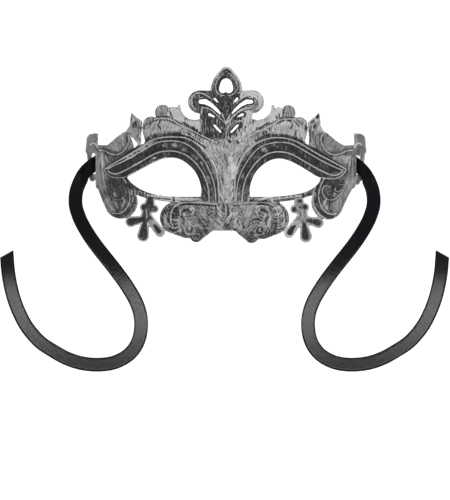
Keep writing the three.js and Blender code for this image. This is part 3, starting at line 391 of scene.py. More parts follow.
# single strokes of silver and of bare charcoal: run of points, half width,
# how silver (0..1), relief in mm, and the half it lies on (-1 left, 1 right, 0 both)
STROKES = [
    # shell: gap between the lobes of the leaf; painted shadow in dark strokes along shallow grooves above and under the
    # ridge; the small curl
    ([(56.2, 111.5), (54.6, 115), (53.6, 118.2)], 0.65, 0.08, -0.25, -1),
    ([(57.8, 112), (57.7, 117)], 0.5, 0.95, 0.1, -1),
    ([(57.9, 109.6), (58.2, 116.2)], 0.8, 0.1, -0.2, 1),
    ([(56.0, 111.0), (56.2, 117.0)], 0.5, 0.92, 0.1, 1),
    ([(53.6, 113.4), (53.8, 117.8)], 0.7, 0.1, -0.2, 1),
    ([(50.9, 115.8), (51.2, 118.2)], 0.8, 0.14, -0.15, 1),
    # painted shadow: dark lines above the shell ridge and under it, over shallow grooves
    ([(70, 116.6), (63, 116.4), (56.5, 116.8)], 0.6, 0.1, -0.15, -1),
    ([(68.6, 117.4), (62, 117.0), (55.6, 117.6)], 0.6, 0.08, -0.2, 1),
    ([(77.6, 124.4), (75, 121.2), (72.6, 119.6)], 0.5, 0.12, -0.15, 0),
    ([(75.4, 123.8), (72.6, 121.4), (70.6, 120.4)], 0.65, 0.12, -0.2, -1),
    ([(70.6, 120.6), (66, 119.9), (61, 119.9)], 0.5, 0.1, -0.2, -1),
    ([(67.4, 120.8), (70.6, 122.4), (73.8, 125.6)], 0.8, 0.06, -0.2, 1),
    ([(63.6, 120.4), (66.2, 121.2)], 0.8, 0.08, -0.2, 1),
    ([(71.6, 130.4), (70.8, 134.4), (72.2, 138.2), (74.6, 139.8)], 0.65, 0.1, -0.2, 1),
    ([(73.4, 131.6), (72.8, 136.0)], 0.5, 0.92, 0.2, 1),
    ([(76.0, 135.2), (77.0, 138.4)], 0.8, 0.08, -0.2, 1),
    ([(67.1, 119.6), (69.1, 123.8)], 0.5, 1.0, 0.2, 0),
    ([(65.5, 120.2), (67.5, 123.6), (67.7, 126), (65.6, 128.4)], 0.65, 0.1, -0.25, 0),
    ([(59.6, 119.8), (56, 121), (51.6, 123.2)], 0.65, 0.1, -0.2, 0),
    ([(50.6, 120.2), (47.5, 122.2), (44.6, 124)], 0.5, 0.3, 0, 0),
    ([(42.6, 122.6), (40, 124.4), (37, 126)], 0.9, 0.1, -0.1, 0),
    ([(35.6, 127), (32.5, 129), (29, 131)], 1.5, 0.12, -0.1, -1),
    ([(35.6, 127.4), (32.5, 129), (29, 130.6)], 0.7, 0.3, -0.1, 1),
    ([(77.5, 133.5), (75, 138)], 0.5, 0.85, 0.2, 0),
    # plate: bare spots on the right, the gap between ridge and strip on the left
    ([(3.6, 141.0), (4.6, 142.0)], 1.2, 0.08, -0.1, 1),
    ([(11.2, 141.8), (12.6, 142.8)], 1.3, 0.12, -0.1, 1),
    ([(10.4, 133.8), (10.6, 136.0)], 0.8, 0.12, -0.05, 1),
    ([(15.4, 132.8), (15.4, 135.4)], 0.8, 0.14, -0.05, 1),
    ([(19.6, 126.4), (19.4, 131.6)], 0.7, 0.2, -0.05, 1),
    ([(13.4, 128.6), (13.2, 131.6)], 0.8, 0.16, -0.05, 1),
    ([(31.2, 128.2), (33.6, 128.8)], 1.3, 0.05, -0.2, 1),
    ([(34.6, 127.2), (36.2, 127.6)], 0.7, 0.12, -0.1, 1),
    ([(37.6, 132.6), (37.0, 134.0)], 0.8, 0.1, -0.15, 1),
    ([(40.0, 131.4), (40.4, 133.2)], 0.8, 0.1, -0.15, 1),
    ([(43.2, 128.6), (43.6, 130.0)], 0.8, 0.12, -0.15, 1),
    ([(38.6, 129.9), (35, 131.5), (26.3, 136.0), (18, 140.1)], 0.55, 0.06, -0.2, -1),
    ([(38.6, 133.4), (36.6, 134.2)], 0.8, 0.08, -0.2, -1),
    ([(34.4, 136.0), (33.4, 136.6)], 0.6, 0.1, -0.1, -1),
    ([(42.2, 133.2), (40.0, 133.6)], 0.5, 0.1, -0.15, -1),
    ([(44.4, 128.4), (42.6, 129.4)], 0.6, 0.12, -0.15, -1),
    # edge of the horn, in shade
    ([(46.3, 107.5), (45.0, 112), (41.8, 116), (36.6, 119.8)], 0.45, 0.3, 0, -1),
    # lower line of the strip, and the gap below it
    ([(43.4, 133.6), (37.5, 135.6), (34.6, 137.1), (29.8, 140.4), (24.6, 144.0)], 0.8, 0.95, 0.2, -1),
    ([(43.4, 133.6), (37.5, 135.6), (34.6, 137.1), (29.8, 140.4), (24.6, 144.0)], 0.6, 0.85, 0.2, 1),
    ([(41.6, 135.2), (34, 138.6), (27.5, 142.8), (21, 148)], 0.75, 0.06, -0.2, -1),
    ([(43.6, 134.2), (36, 137.0), (28.5, 141.6)], 1.1, 0.06, -0.2, 1),
    ([(26.4, 144.0), (20.8, 149.4)], 0.8, 0.12, -0.2, 1),
    # crest: second line above the slot, lines under it
    ([(29.6, 104.0), (28.6, 99.6), (24.8, 97.6), (19.4, 98.6), (14.4, 101.9), (8.6, 107.6), (3.2, 115.2)], 0.5, 0.85, 0.2, -1),
    ([(30.2, 101.0), (26, 96.4), (20, 96.8), (14, 100.6), (7.4, 107.6), (3.6, 113.2)], 0.5, 0.1, -0.2, -1),
    ([(24.4, 96.6), (19, 98.0), (13.4, 101.6), (7.2, 108.2), (3.4, 113.6)], 0.5, 0.15, -0.2, 1),
    ([(22.6, 106.4), (16.6, 107.4), (10.6, 110.6), (6.2, 115), (2.2, 119.8)], 0.45, 0.1, -0.2, -1),
    ([(24.6, 109.4), (18, 110.6), (12.6, 114), (8.4, 118), (3.6, 122.8)], 0.45, 0.1, -0.2, 0),
    ([(0, 114.8), (-0.1, 118.6)], 0.7, 0.1, -0.2, 0),
    ([(27.4, 97.6), (30.4, 100.2), (31.2, 103.2), (29.2, 106.0)], 0.7, 0.14, -0.2, 1),
    ([(31.4, 103.4), (29.8, 105.8)], 1.1, 0.2, -0.1, 1),
    ([(31.4, 99.5), (31.2, 104.0)], 1.9, 0.1, -0.2, -1),
    # bare round the small slots on the right
    ([(16.8, 111.8), (19.4, 113.4), (18.8, 116.6)], 0.7, 0.06, -0.2, 1),
    ([(8.2, 117.8), (11.4, 119.2), (14.6, 118.8)], 1.3, 0.06, -0.2, 1),
    ([(12.6, 122.7), (15.6, 123.4), (14.8, 127.6)], 1.0, 0.08, -0.2, 1),
    ([(3.6, 134.4), (6.2, 134.8), (9.6, 131.4)], 0.9, 0.08, -0.2, 1),
    ([(25.0, 107.4), (24.6, 113.6)], 0.6, 0.75, 0, -1),
    # temple: arch at the foot of the post, dark by the end of the fan
    ([(128.4, 147.6), (129.6, 145.2), (132, 143.2), (134.2, 143.6), (135.6, 145.0)], 0.55, 0.8, 0.2, 0),
    ([(99.4, 137.6), (98.6, 142.0)], 0.9, 0.12, -0.2, 0),
    ([(110.6, 143.6), (109.4, 146.6), (108.8, 150.2)], 0.7, 0.58, 0, -1),
    ([(103.6, 137.6), (102.6, 145)], 0.7, 0.58, 0, -1),
    ([(122.5, 149.2), (115, 150.6), (108.6, 152.6)], 1.1, 0.16, -0.1, -1),
    ([(122.5, 149.2), (115, 150.6), (108.6, 152.6)], 0.9, 0.3, -0.1, 1),
    ([(120.6, 156.5), (119.2, 159.2), (118.4, 161.8)], 0.7, 0.55, 0, -1),
    ([(124.6, 155.5), (124.2, 166)], 0.5, 0.66, 0.1, 0),
    ([(125.8, 164.0), (125.6, 170.2)], 0.8, 0.14, -0.15, -1),
    ([(123.6, 156), (123.4, 168), (122.0, 181), (118.8, 193), (114.4, 203)], 0.45, 0.56, 0.1, 0),
    ([(126.6, 158), (127.0, 172), (125.8, 184), (121.6, 196)], 0.45, 0.5, 0.1, 0),
    ([(121.6, 176), (119.6, 187), (116.2, 196), (112.4, 203)], 0.4, 0.2, -0.1, -1),
    ([(111.4, 157.2), (120.6, 158.2)], 2.4, 0.56, 0, 1),
    ([(114.6, 161.2), (121.0, 161.6)], 1.6, 0.5, 0, 1),
    # finial: recess and the dark line beside the hole
    ([(94.6, 116.5), (94.4, 120)], 0.8, 0.14, -0.15, -1),
    ([(93.6, 115.2), (92.2, 117.6)], 1.2, 0.08, -0.15, 1),
    ([(88.2, 121.0), (86.6, 123.0)], 0.9, 0.1, -0.1, 1),
    ([(84.5, 127.0), (85.7, 130.8), (86.6, 142.0)], 0.45, 0.15, -0.15, 0),
    # rim over the eye: thin dark line in the thick silver
    ([(112.6, 164.7), (106, 161.2), (99.6, 157.9)], 0.32, 0.2, -0.1, -1),
    ([(96.6, 156.6), (94.6, 155.5)], 0.4, 0.3, -0.05, -1),
    ([(92.2, 153.6), (90.2, 152.4)], 0.4, 0.3, -0.05, -1),
    ([(87.8, 151.7), (86.6, 151.2)], 0.4, 0.3, -0.05, -1),
    ([(79.8, 146.8), (78.8, 145.9)], 0.7, 0.06, -0.2, -1),
    # and the lip under it: dark, with silver on its edge
    ([(92, 168.6), (84, 164.9), (78, 161.9), (75.8, 161.1)], 1.6, 0.05, 0, -1),
    ([(98.0, 175.9), (88.9, 171.4), (78.4, 166.1), (67.8, 160.7), (60, 157.8)], 0.7, 1.0, 0, -1),
    # cheek lobe
    ([(111.5, 193.6), (111.0, 195.4)], 1.3, 0.45, 0.15, 0),
    ([(103.6, 197.5), (101.6, 201), (103.6, 205.6)], 1.0, 0.5, 0, -1),
    ([(110.6, 202), (108.6, 207.6)], 1.0, 0.46, 0, -1),
    ([(119.5, 199), (116.5, 205), (112, 210.6)], 1.3, 0.46, 0, 0),
    ([(104, 199), (101.5, 204), (104, 208)], 1.3, 0.6, 0, 1),
    ([(107.2, 201), (106.2, 208), (108.2, 211)], 0.8, 0.12, 0, 0),
    ([(98.0, 184.6), (94.6, 190), (93.4, 198), (94.6, 206), (98.6, 212.2), (104.4, 215.4), (111, 216.2)], 1.9, 0.1, -0.1, -1),
    ([(94.6, 190.5), (94.2, 194.5)], 0.6, 0.66, 0, -1),
    ([(93.0, 197), (93.6, 201.6)], 0.6, 0.6, 0, -1),
    ([(95.2, 203.4), (96.4, 206.6)], 0.5, 0.6, 0, -1),
    ([(96.0, 186.4), (93.2, 192), (92.6, 199), (94.0, 206.2), (98.8, 212.6), (104.6, 215.8), (110.4, 216.4)], 1.75, 0.1, -0.15, 1),
    ([(93.2, 187), (90.8, 192), (90.1, 199), (91.4, 206), (96.0, 213.2), (102.4, 217.8)], 0.5, 0.8, 0.1, 1),
    ([(92.8, 192.6), (92.4, 197)], 0.5, 0.5, 0, 1),
    ([(93.8, 203.6), (95.2, 207)], 0.5, 0.5, 0, 1),
    # lower rim: silver along its upper edge toward the middle
    ([(78, 197.4), (66, 198.4), (56, 199.2)], 0.55, 0.12, -0.15, -1),
    ([(78, 195.2), (66, 196.4), (56, 197.4), (51, 198.0)], 0.95, 0.97, 0.1, -1),
    ([(78, 195.6), (62, 197.6), (46, 198.6), (30, 199.0)], 1.1, 0.68, 0.05, 1),
    ([(90.6, 190.6), (84, 192.6), (80, 193.8)], 0.7, 0.4, 0, 0),
    ([(52.6, 197.6), (52.0, 202)], 1.0, 0.1, -0.15, -1),
    ([(49.4, 199.6), (45.6, 200.4)], 1.1, 0.75, 0, -1),
    ([(48.6, 198.2), (49.6, 203)], 1.0, 0.85, 0.1, 1),
    ([(45, 202), (38, 201.4), (30, 201.6)], 0.5, 0.12, -0.15, 0),
    # nose cheek: dark under the top ridge, dark shoulder outside it
    ([(45.4, 204.8), (38, 204.3), (26, 204.6), (12, 206.2)], 0.8, 0.06, -0.2, -1),
    ([(45.4, 204.8), (40, 204.3), (34, 204.4)], 0.7, 0.08, -0.2, 1),
    ([(12, 205.4), (7, 205.8)], 0.6, 0.2, -0.1, 1),
    ([(60.4, 204.6), (59.6, 209), (59.0, 213)], 3.4, 0.10, 0, -1),
    ([(56.6, 207), (57.8, 213.5)], 1.0, 0.06, -0.15, -1),
    ([(50.6, 209.5), (48.8, 213.6)], 2.6, 0.14, 0, -1),
    ([(50.5, 208.5), (53.0, 213), (53.2, 219)], 0.6, 0.1, -0.15, -1),
    ([(60.4, 215.6), (59.6, 221.6), (57, 226)], 1.9, 0.58, 0, -1),
    ([(58.4, 217), (57.6, 223)], 0.4, 0.2, -0.1, -1),
    ([(48.4, 220.6), (46.8, 226), (46, 231)], 1.4, 0.66, 0, -1),
    ([(52.4, 224), (50.6, 230), (47.6, 234)], 0.6, 0.12, -0.1, -1),
    ([(60.4, 227), (54.6, 230.4), (49.4, 234)], 0.8, 0.14, -0.1, -1),
    ([(49.0, 207.6), (52.6, 212.4), (53.4, 219)], 0.4, 0.66, 0.15, 1),
    ([(47.6, 205.4), (50.6, 207.6)], 0.6, 0.08, -0.2, 1),
    ([(47.2, 209), (50.6, 213.6), (51.4, 219)], 0.4, 0.16, -0.1, 1),
    ([(61.0, 209.6), (61.4, 215), (60.6, 221)], 1.9, 0.68, 0, 1),
    ([(59.6, 209.0), (60.0, 215), (58.8, 221.6)], 0.4, 0.25, -0.1, 1),
    ([(54.6, 203.4), (58.2, 206.0), (61.4, 210.6), (62.6, 215), (63.0, 220.6)], 0.65, 0.03, -0.2, 1),
    ([(46.4, 216), (46.6, 222), (44.6, 229)], 1.7, 0.76, 0, 1),
    ([(52.6, 217.6), (53.4, 222.4)], 0.5, 0.06, -0.15, 1),
    ([(53.2, 222.6), (53.0, 227), (51.2, 231.6)], 1.7, 0.03, -0.25, 1),
    ([(57.6, 224.8), (56.4, 228.6), (53.4, 231.0)], 1.0, 0.04, -0.15, 1),
    ([(46.6, 228.6), (45.4, 233.2)], 0.7, 0.06, -0.15, 1),
    ([(50.0, 230.6), (47.0, 234.0)], 0.7, 0.06, -0.15, 1),
    ([(61.6, 226.2), (55.6, 230.2), (49, 233.8), (46, 235.4)], 0.65, 0.05, -0.15, 1),
    ([(50.2, 220.2), (48.6, 226.6)], 0.5, 0.12, -0.15, 1),
    # first scroll
    ([(46.1, 217.2), (45.5, 212.4), (43.2, 208.2), (39.5, 206.1), (35.3, 206.4), (32.6, 208.2), (31.8, 211.4), (33.2, 213.5), (35.3, 213.7)], 0.55, 0.9, 0.3, 0),
    ([(43.4, 212.6), (41.0, 210.2), (37.6, 209.8)], 1.5, 0.08, -0.25, 0),
    ([(36.6, 212.8), (34.9, 212.2)], 0.9, 0.1, -0.2, 0),
    ([(42.1, 213.6), (41.7, 215.0)], 1.5, 0.95, 0.2, 0),
    ([(35.4, 208.6), (35.0, 209.8)], 1.2, 0.85, 0.2, 0),
    ([(31.0, 207.6), (30.4, 211.6), (31.8, 215.0)], 0.5, 0.2, -0.15, 0),
    # stem between the scrolls
    ([(44.8, 216.6), (42.6, 219.3), (42.6, 223.5)], 1.3, 0.08, -0.2, 0),
    ([(39.0, 216.8), (36.4, 216.2)], 0.7, 0.15, -0.2, 0),
    ([(40.8, 218), (38.0, 221), (36.0, 222.8)], 0.6, 0.8, 0.15, 0),
    # second scroll
    ([(41.3, 227.7), (40.5, 231.9), (37.4, 234.5), (33.2, 234.0), (31.1, 230.3), (31.3, 225.6)], 0.5, 0.85, 0.3, -1),
    ([(41.3, 227.7), (40.5, 231.9), (37.4, 234.5), (33.2, 234.0), (31.1, 230.3)], 0.45, 0.6, 0.2, 1),
    ([(44.7, 226.6), (42.8, 231.2), (39.5, 235.0), (34.2, 236.2), (31.4, 234.8)], 0.75, 0.06, -0.25, 0),
    ([(38.4, 226.4), (38.9, 230), (36.4, 232.4), (33.8, 230.4), (34.6, 226.6)], 0.8, 0.05, -0.25, 0),
    ([(36.6, 227.6), (36.3, 229.8)], 0.5, 0.85, 0.2, 0),
    ([(40.4, 224.6), (37.6, 223.5), (35.2, 224.4)], 0.45, 0.8, 0.2, 0),
    # third scroll, its dots and the dark ball by the arch
    ([(26.8, 219.4), (26.2, 222.2), (23.8, 224.0)], 0.6, 0.08, -0.25, -1),
    ([(25.0, 218.8), (22.8, 219.8), (22.6, 222.0)], 0.5, 0.12, -0.2, -1),
    ([(26.4, 225.6), (22.6, 226.4), (19.6, 225.8)], 0.7, 0.1, -0.2, -1),
    ([(22.6, 229.6), (19.4, 230.6)], 1.5, 0.05, -0.3, -1),
    ([(18.6, 222.2), (18.2, 222.8)], 0.6, 0.1, -0.1, -1),
    ([(25.4, 234.2), (24.8, 235.4)], 1.1, 0.08, -0.2, -1),
    ([(17.6, 221.2), (17.0, 224.4), (19.2, 227.0)], 0.6, 0.08, -0.25, 1),
    ([(24.4, 221.2), (24.8, 223.6), (23.2, 226.4)], 0.6, 0.08, -0.25, 1),
    ([(25.6, 219.4), (26.6, 223.4), (24.4, 227.6), (20.6, 228.8)], 0.45, 0.85, 0.2, 1),
    ([(26.6, 219.6), (27.6, 223.0)], 0.45, 0.1, -0.15, 1),
    ([(20.6, 223.4), (20.9, 224.6)], 1.5, 0.8, 0.15, 1),
    # curve beside the bud
    ([(14.6, 209.8), (12.1, 209.8)], 0.8, 0.12, -0.15, -1),
    ([(17.4, 213.6), (15.2, 211.4), (12.2, 211.9), (11.2, 215.0)], 0.5, 0.85, 0.2, -1),
    ([(16.0, 213.6), (13.6, 213.4)], 0.8, 0.08, -0.2, -1),
    ([(8.5, 213.6), (9.2, 219.3), (11.8, 225), (16, 228.4)], 0.5, 0.85, 0.2, 1),
    ([(9.8, 214.6), (10.6, 219.4), (13.2, 224.4)], 0.4, 0.2, -0.1, 1),
    ([(15.4, 214.6), (15.6, 215.2)], 0.7, 0.12, -0.15, 1),
    ([(17.5, 213.8), (17.7, 214.4)], 0.7, 0.12, -0.15, 1),
    # bud in the middle, and the dark hollow under it
    ([(-3.6, 204), (-3.8, 211.4)], 1.1, 0.08, -0.2, -1),
    ([(5.0, 204), (5.1, 212.4)], 0.45, 0.9, 0.25, -1),
    ([(2.6, 203.4), (2.2, 212.0)], 0.9, 0.08, -0.2, -1),
    ([(0.4, 202), (0.3, 215.5)], 0.45, 0.9, 0.25, -1),
    ([(1.4, 204.6), (1.9, 209.6), (2.4, 214.6)], 0.9, 0.08, -0.2, 1),
    ([(3.6, 204.6), (4.6, 210), (4.6, 216)], 0.8, 0.9, 0.2, 1),
    ([(5.9, 209.6), (6.1, 211)], 0.6, 0.1, -0.15, 1),
    ([(3.2, 217.4), (2.8, 221.4)], 2.0, 0.9, 0.1, 1),
    ([(1.2, 225.6), (-2.6, 225.8)], 1.9, 0.02, -0.35, 1),
    ([(0.0, 225.6), (-1.0, 225.8)], 1.7, 0.02, -0.35, -1),
    ([(12.4, 225.2), (8.4, 227.4), (4.8, 226.0), (2.9, 223.2)], 0.5, 0.85, 0.2, -1),
    ([(8.0, 223.4), (7.2, 224.4)], 0.7, 0.12, -0.2, -1),
    ([(5.6, 224.0), (5.0, 224.8)], 0.6, 0.12, -0.2, -1),
    ([(8.4, 228.2), (12.4, 230.2), (17.4, 233.4), (22.4, 236.7), (26.8, 239.5), (30.6, 241.0)], 0.85, 0.06, -0.15, 1),
    ([(0.2, 69.8), (3.6, 71.8)], 1.0, 0.1, -0.1, 1),
    ([(0.2, 69.8), (2.6, 71.4)], 0.8, 0.16, -0.1, -1),
    ([(4.6, 72.2), (8.2, 76.4), (11.2, 80.8), (12.8, 84.0)], 0.5, 0.2, -0.05, 1),
    ([(4.2, 72.2), (7.6, 76.0)], 0.45, 0.35, -0.05, -1),
    ([(2.4, 73.4), (5.6, 76.5), (8.5, 80.3), (10.5, 84.4)], 0.5, 0.85, 0.1, 1),
    ([(3.0, 73.6), (6.2, 76.9), (9.0, 80.5), (10.9, 84.4)], 0.5, 0.8, 0.1, -1),
    ([(16.2, 108.4), (20.0, 107.2), (24.0, 106.8)], 0.7, 0.34, -0.05, 1),
    ([(25.2, 236.4), (29.6, 237.6), (30.6, 239.6)], 1.7, 0.07, -0.2, 1),
    ([(33.2, 236.6), (31.2, 239.6)], 0.7, 0.75, 0.15, -1),
    ([(30.2, 236.8), (28.2, 240.4)], 0.6, 0.7, 0.15, -1),
    ([(34.0, 239.0), (31.6, 241)], 0.6, 0.08, -0.1, -1),
    # silver along the outermost rim, by the bridge
    ([(7.6, 176), (9.6, 168), (14.4, 158.4), (20.6, 150.2), (28.6, 142.6)], 1.3, 0.86, 0, 1),
    ([(8.8, 172.6), (13.2, 160.6), (20.2, 151.0), (29.6, 143.6)], 0.8, 0.9, 0, -1),
    ([(10.6, 166.4), (15.6, 154.4), (22.6, 145.6)], 0.4, 0.2, -0.15, 1),
    # dark strokes down the middle of the bridge
    ([(1.6, 155), (0.4, 161), (-1.4, 168.6)], 1.2, 0.40, 0, -1),
    ([(1.6, 163.6), (0.2, 169)], 0.8, 0.42, 0, 1),
    ([(4.4, 158), (6.6, 168), (7.6, 178)], 1.9, 0.94, 0, 1),
]


def lerp(a, b, t):
    return a + (b - a) * t


def inside_of(s, w=1.2):
    return ease(0.3, -w, s)


def finish_and_painted_shading_maps(X, R, s):
    """Relief in mm, how silver the lines are, how covered the flats are, and the run of the brush. The cover also holds
    painted light: a lighter right half, shading on the shell and shadow lines by its ridge.
    """
    D, R = s["D"], s["R"]
    left = X < 0
    relief = np.zeros(D.shape)
    line = np.zeros(D.shape)
    hollow = np.zeros(D.shape)
    for pts, w, h, sl, sr, *half in LINES:
        d, _ = to_line(D, R, pts)
        if half:
            d = np.where(X * half[0] > 0, d, 50)
        k = np.exp(-((d / w) ** 2))
        relief += h * k
        line = np.maximum(line, np.where(left, sl, sr) * k)
        side = np.exp(-(((d - 2.1 * w) / 0.75) ** 2))
        hollow = np.maximum(hollow, min(1.0, 0.35 + 1.1 * h) * side)
    relief -= 0.18 * hollow
    # the rim is thick with silver on the side toward the temple
    thick = joined(*[bar(D, R, a, b) for a, b in (((107, 160.6, 0.8), (100, 157.8, 1.8)), ((100, 157.8, 1.8), (95, 155.8, 2.7)), ((95, 155.8, 2.7), (88.9, 151.8, 2.3)),
                                                  ((88.9, 151.8, 2.3), (83.6, 149.0, 2.7)), ((83.6, 149.0, 2.7), (80.4, 147.0, 2.7)), ((80.4, 147.0, 2.7), (77, 144.2, 1.8)),
                                                  ((77, 144.2, 1.8), (73.6, 142.2, 1.1)))])
    line = np.maximum(line, np.where(left, 0.6, 0) * ease(0.6, -0.6, thick))
    under = joined(bar(D, R, (92.5, 165.6, 1.3), (85, 161.8, 1.0)), bar(D, R, (74.4, 158.9, 0.6), (71.2, 158.0, 1.4)))
    line = np.maximum(line, np.where(left, 0.6, 0) * ease(0.6, -0.5, under))
    fleck = np.zeros(D.shape)
    for cx, cy, r, v in FLECKS:
        fleck = np.maximum(fleck, 0.82 * v * ease(r + 0.4, r - 1.4, np.hypot((X - cx) / 1.15, R - cy)))
    for cx, cy, r in BEADS:
        q = np.hypot(D - cx, R - cy)
        relief += 0.3 * np.exp(-((q / r) ** 2))
        line = np.maximum(line, 0.75 * np.exp(-(((q - r) / 0.45) ** 2)))
    # channels: sunk between the ridges of the rim, round the heart, under the V
    band = inside_of(np.maximum(s["band"], R - 201), 1.5)
    lip = inside_of(s["eye"] - 6.4, 1.0) * (R < 199)
    hold = np.clip(band, 0, 1)
    relief -= 0.5 * hold * (1 - np.clip(line, 0, 1))

    # painted light: the right half gets more silver than the left, here and in the left/right pairs below; partly the
    # brush, partly painted light standing in for light from the upper right
    silver_and_painted_shading = np.where(left, 0.28, 0.34)

    def lay(mask, l, r=None):
        nonlocal silver_and_painted_shading
        r = l if r is None else r
        silver_and_painted_shading = lerp(silver_and_painted_shading, np.where(left, l, r), np.clip(mask, 0, 1))

    lay(ease(27, 20, D) * ease(128, 140, R), 0.58, 0.63)                         # bridge of the nose
    lay(np.exp(-(((X + 4) / 3.0) ** 2) - ((R - 170) / 16) ** 2), 0.5)
    lay(ease(200, 206, R) * ease(24, 14, D), 0.44, 0.5)
    lay(inside_of(s["horn"], 1.5) + inside_of(bar(D, R, (46, 124, 7), (30, 127, 7)), 3), 1.02, 0.92)
    lay(inside_of(s["leaf"], 1.5), 0.47, 0.44)
    # shell: lighter in the middle and darker toward its lower edge by the rim, partly the brush and partly painted
    # shading
    lay(inside_of(s["shell"], 4.0), 0.63, 0.73)
    near_rim = np.minimum(*[np.where(X * LINES[k][5] > 0, to_line(D, R, LINES[k][0])[0], 50) for k in (0, 4)])
    lay(inside_of(s["shell"], 1.5) * ease(8.0, 4.0, near_rim) * ease(40, 47, D), 0.36, 0.62)
    lay(inside_of(s["shell"], 1.5) * np.where(left, ease(5.6, 3.2, near_rim), ease(4.8, 3.0, near_rim)) * ease(36, 41, D + 3.0 * left), 0.06, 0.1)
    column = ease(28, 23, D) * ease(94, 100, R) * ease(142, 134, R)
    lay(column, 0.14, 0.72)
    lay(column * ease(14, 6, D), 0.1, 0.42)
    lay(column * ease(122, 114, R) * ease(4, 8, D), 0.14, 0.98)
    strip = inside_of(bar(D, R, (42, 132.2, 3.2), (20, 143.5, 3.4)), 1.0)
    lay(strip, 0.56, 0.6)
    lay(inside_of(s["scroll"], 1.0) * ease(104, 100, R) * (D > 12), 0.13, 0.95)
    lay(inside_of(s["scroll"], 1.0) * ease(30, 34, D), 0.54, 1.0)
    # dark triangle between the scrolls
    lay(ease(0.8, -0.8, np.maximum(D - (122.5 - R) * 0.52, 93.5 - R)), 0.06)
    lay(inside_of(s["drop"], 1.0) * ease(94, 91, R), 0.08, 0.17)
    lay(inside_of(s["drop"], 0.6) * ease(-3.6, -2.2, s["drop"]) * ease(94, 90, R), 0.36, 0.68)
    lay(inside_of(s["drop"], 0.6) * ease(-3.4, -2.0, s["drop"]) * ease(82, 78, R), 0.7, 0.8)
    lay(inside_of(s["finial"], 1.2), 0.55, 0.55)
    lay(ease(3.4, 1.6, np.hypot((D - 91.4) / 0.9, (R - 124.8) / 1.25)) * left, 0.02)
    lay(ease(2.4, 1.0, np.hypot(D - 90.3, (R - 127.0) / 1.2)) * ~left, 0.05)
    # temple
    panel = inside_of(block(D, R, 96, 131, 150, 190, 3), 2)
    lay(panel, 0.27, 0.36)
    lay(panel * ease(111, 105, D) * ease(168, 160, R), 0.17, 0.2)
    fan_line = 152.5 - 0.10 * np.abs(D - 112)
    lay(inside_of(s["fan"], 1.5) * ease(fan_line + 1, fan_line - 2, R), 0.42, 0.37)
    lay(inside_of(s["fan"], 1.5) * ease(fan_line - 1, fan_line + 1.5, R) * ease(fan_line + 12, fan_line + 5, R), 0.2, 0.3)
    lay(inside_of(s["post"], 1.5), 0.35, 0.30)
    lay(inside_of(s["cheek"], 1.5) * ease(177, 181, R) * ease(124, 119, D), 0.17, 0.17)
    lay(inside_of(s["cheek"], 1.5) * ease(199, 207, R), 0.28, 0.4)
    swath = stroke(D, R, (127, 154, 5.5), (126.4, 174, 5.5), (123.6, 186, 5.0), (118.8, 196, 4.6), (113.4, 206, 4.2), (109, 211, 3.4))
    lay(ease(150, 154, R) * ease(1.6, -2.0, swath) * inside_of(s["plan"], 1.0), 0.39 - 0.12 * ease(176, 190, R), 0.22 + 0.22 * ease(172, 182, R))
    # eye rim: dark but for its ridges
    lay(band * ease(203, 200, R), 0.08, 0.08)
    lay(band * ease(203, 200, R) * ease(154, 166, R) * ease(34, 28, D), 0.15, 0.15)
    lay(lip, 0.05, 0.06)
    streaked = ease(184, 193, R) * ease(206, 202, R) * ease(34, 28, D)
    lay(band * streaked, 0.22, 0.36)
    lay(lip * streaked, 0.12, 0.34)
    lay(inside_of(s["lowrim"], 1.5) * ease(70, 74, D), 0.2, 0.2)
    lay(inside_of(s["lowrim"], 1.5) * ease(76, 70, D) * ease(24, 30, D), 0.95, 0.24)
    # nose cheek
    nc = inside_of(s["nosecheek"], 1.5) * ease(201, 204, R)
    lay(nc, 0.42, 0.48)
    lay(nc * ease(51, 56, D), 0.22, 0.52)
    lay(nc * ease(228, 233, R), 0.22, 0.25)
    lay(np.exp(-((X / 3.2) ** 2) - ((R - 226.4) / 3) ** 2), 0.05)
    silver_and_painted_shading = np.maximum(silver_and_painted_shading, fleck)
    for pts, w, tone, h, half in STROKES:
        run = smooth_line(pts, 5) if len(pts) > 2 else np.array(pts, float)
        if run[:, 1].mean() > 206 and abs(run[:, 0]).mean() < 56:      # the small scrolls are fine and shallow
            w, tone = 0.85 * w, lerp(tone, 0.45, 0.2)
        d, _ = to_line(D, R, run)
        k = ease(w + 0.45, w - 0.35, d) * (1 if half == 0 else (X * half > -3.2) * (ease(-0.6, 0.6, X * half) if abs(run[:, 0]).min() > 4 else 1) * (X * half > -0.2 - max(0, -run[:, 0].min())))
        silver_and_painted_shading = lerp(silver_and_painted_shading, tone, k)
        relief += h * k
        line = line * (1 - k * (tone < 0.5))
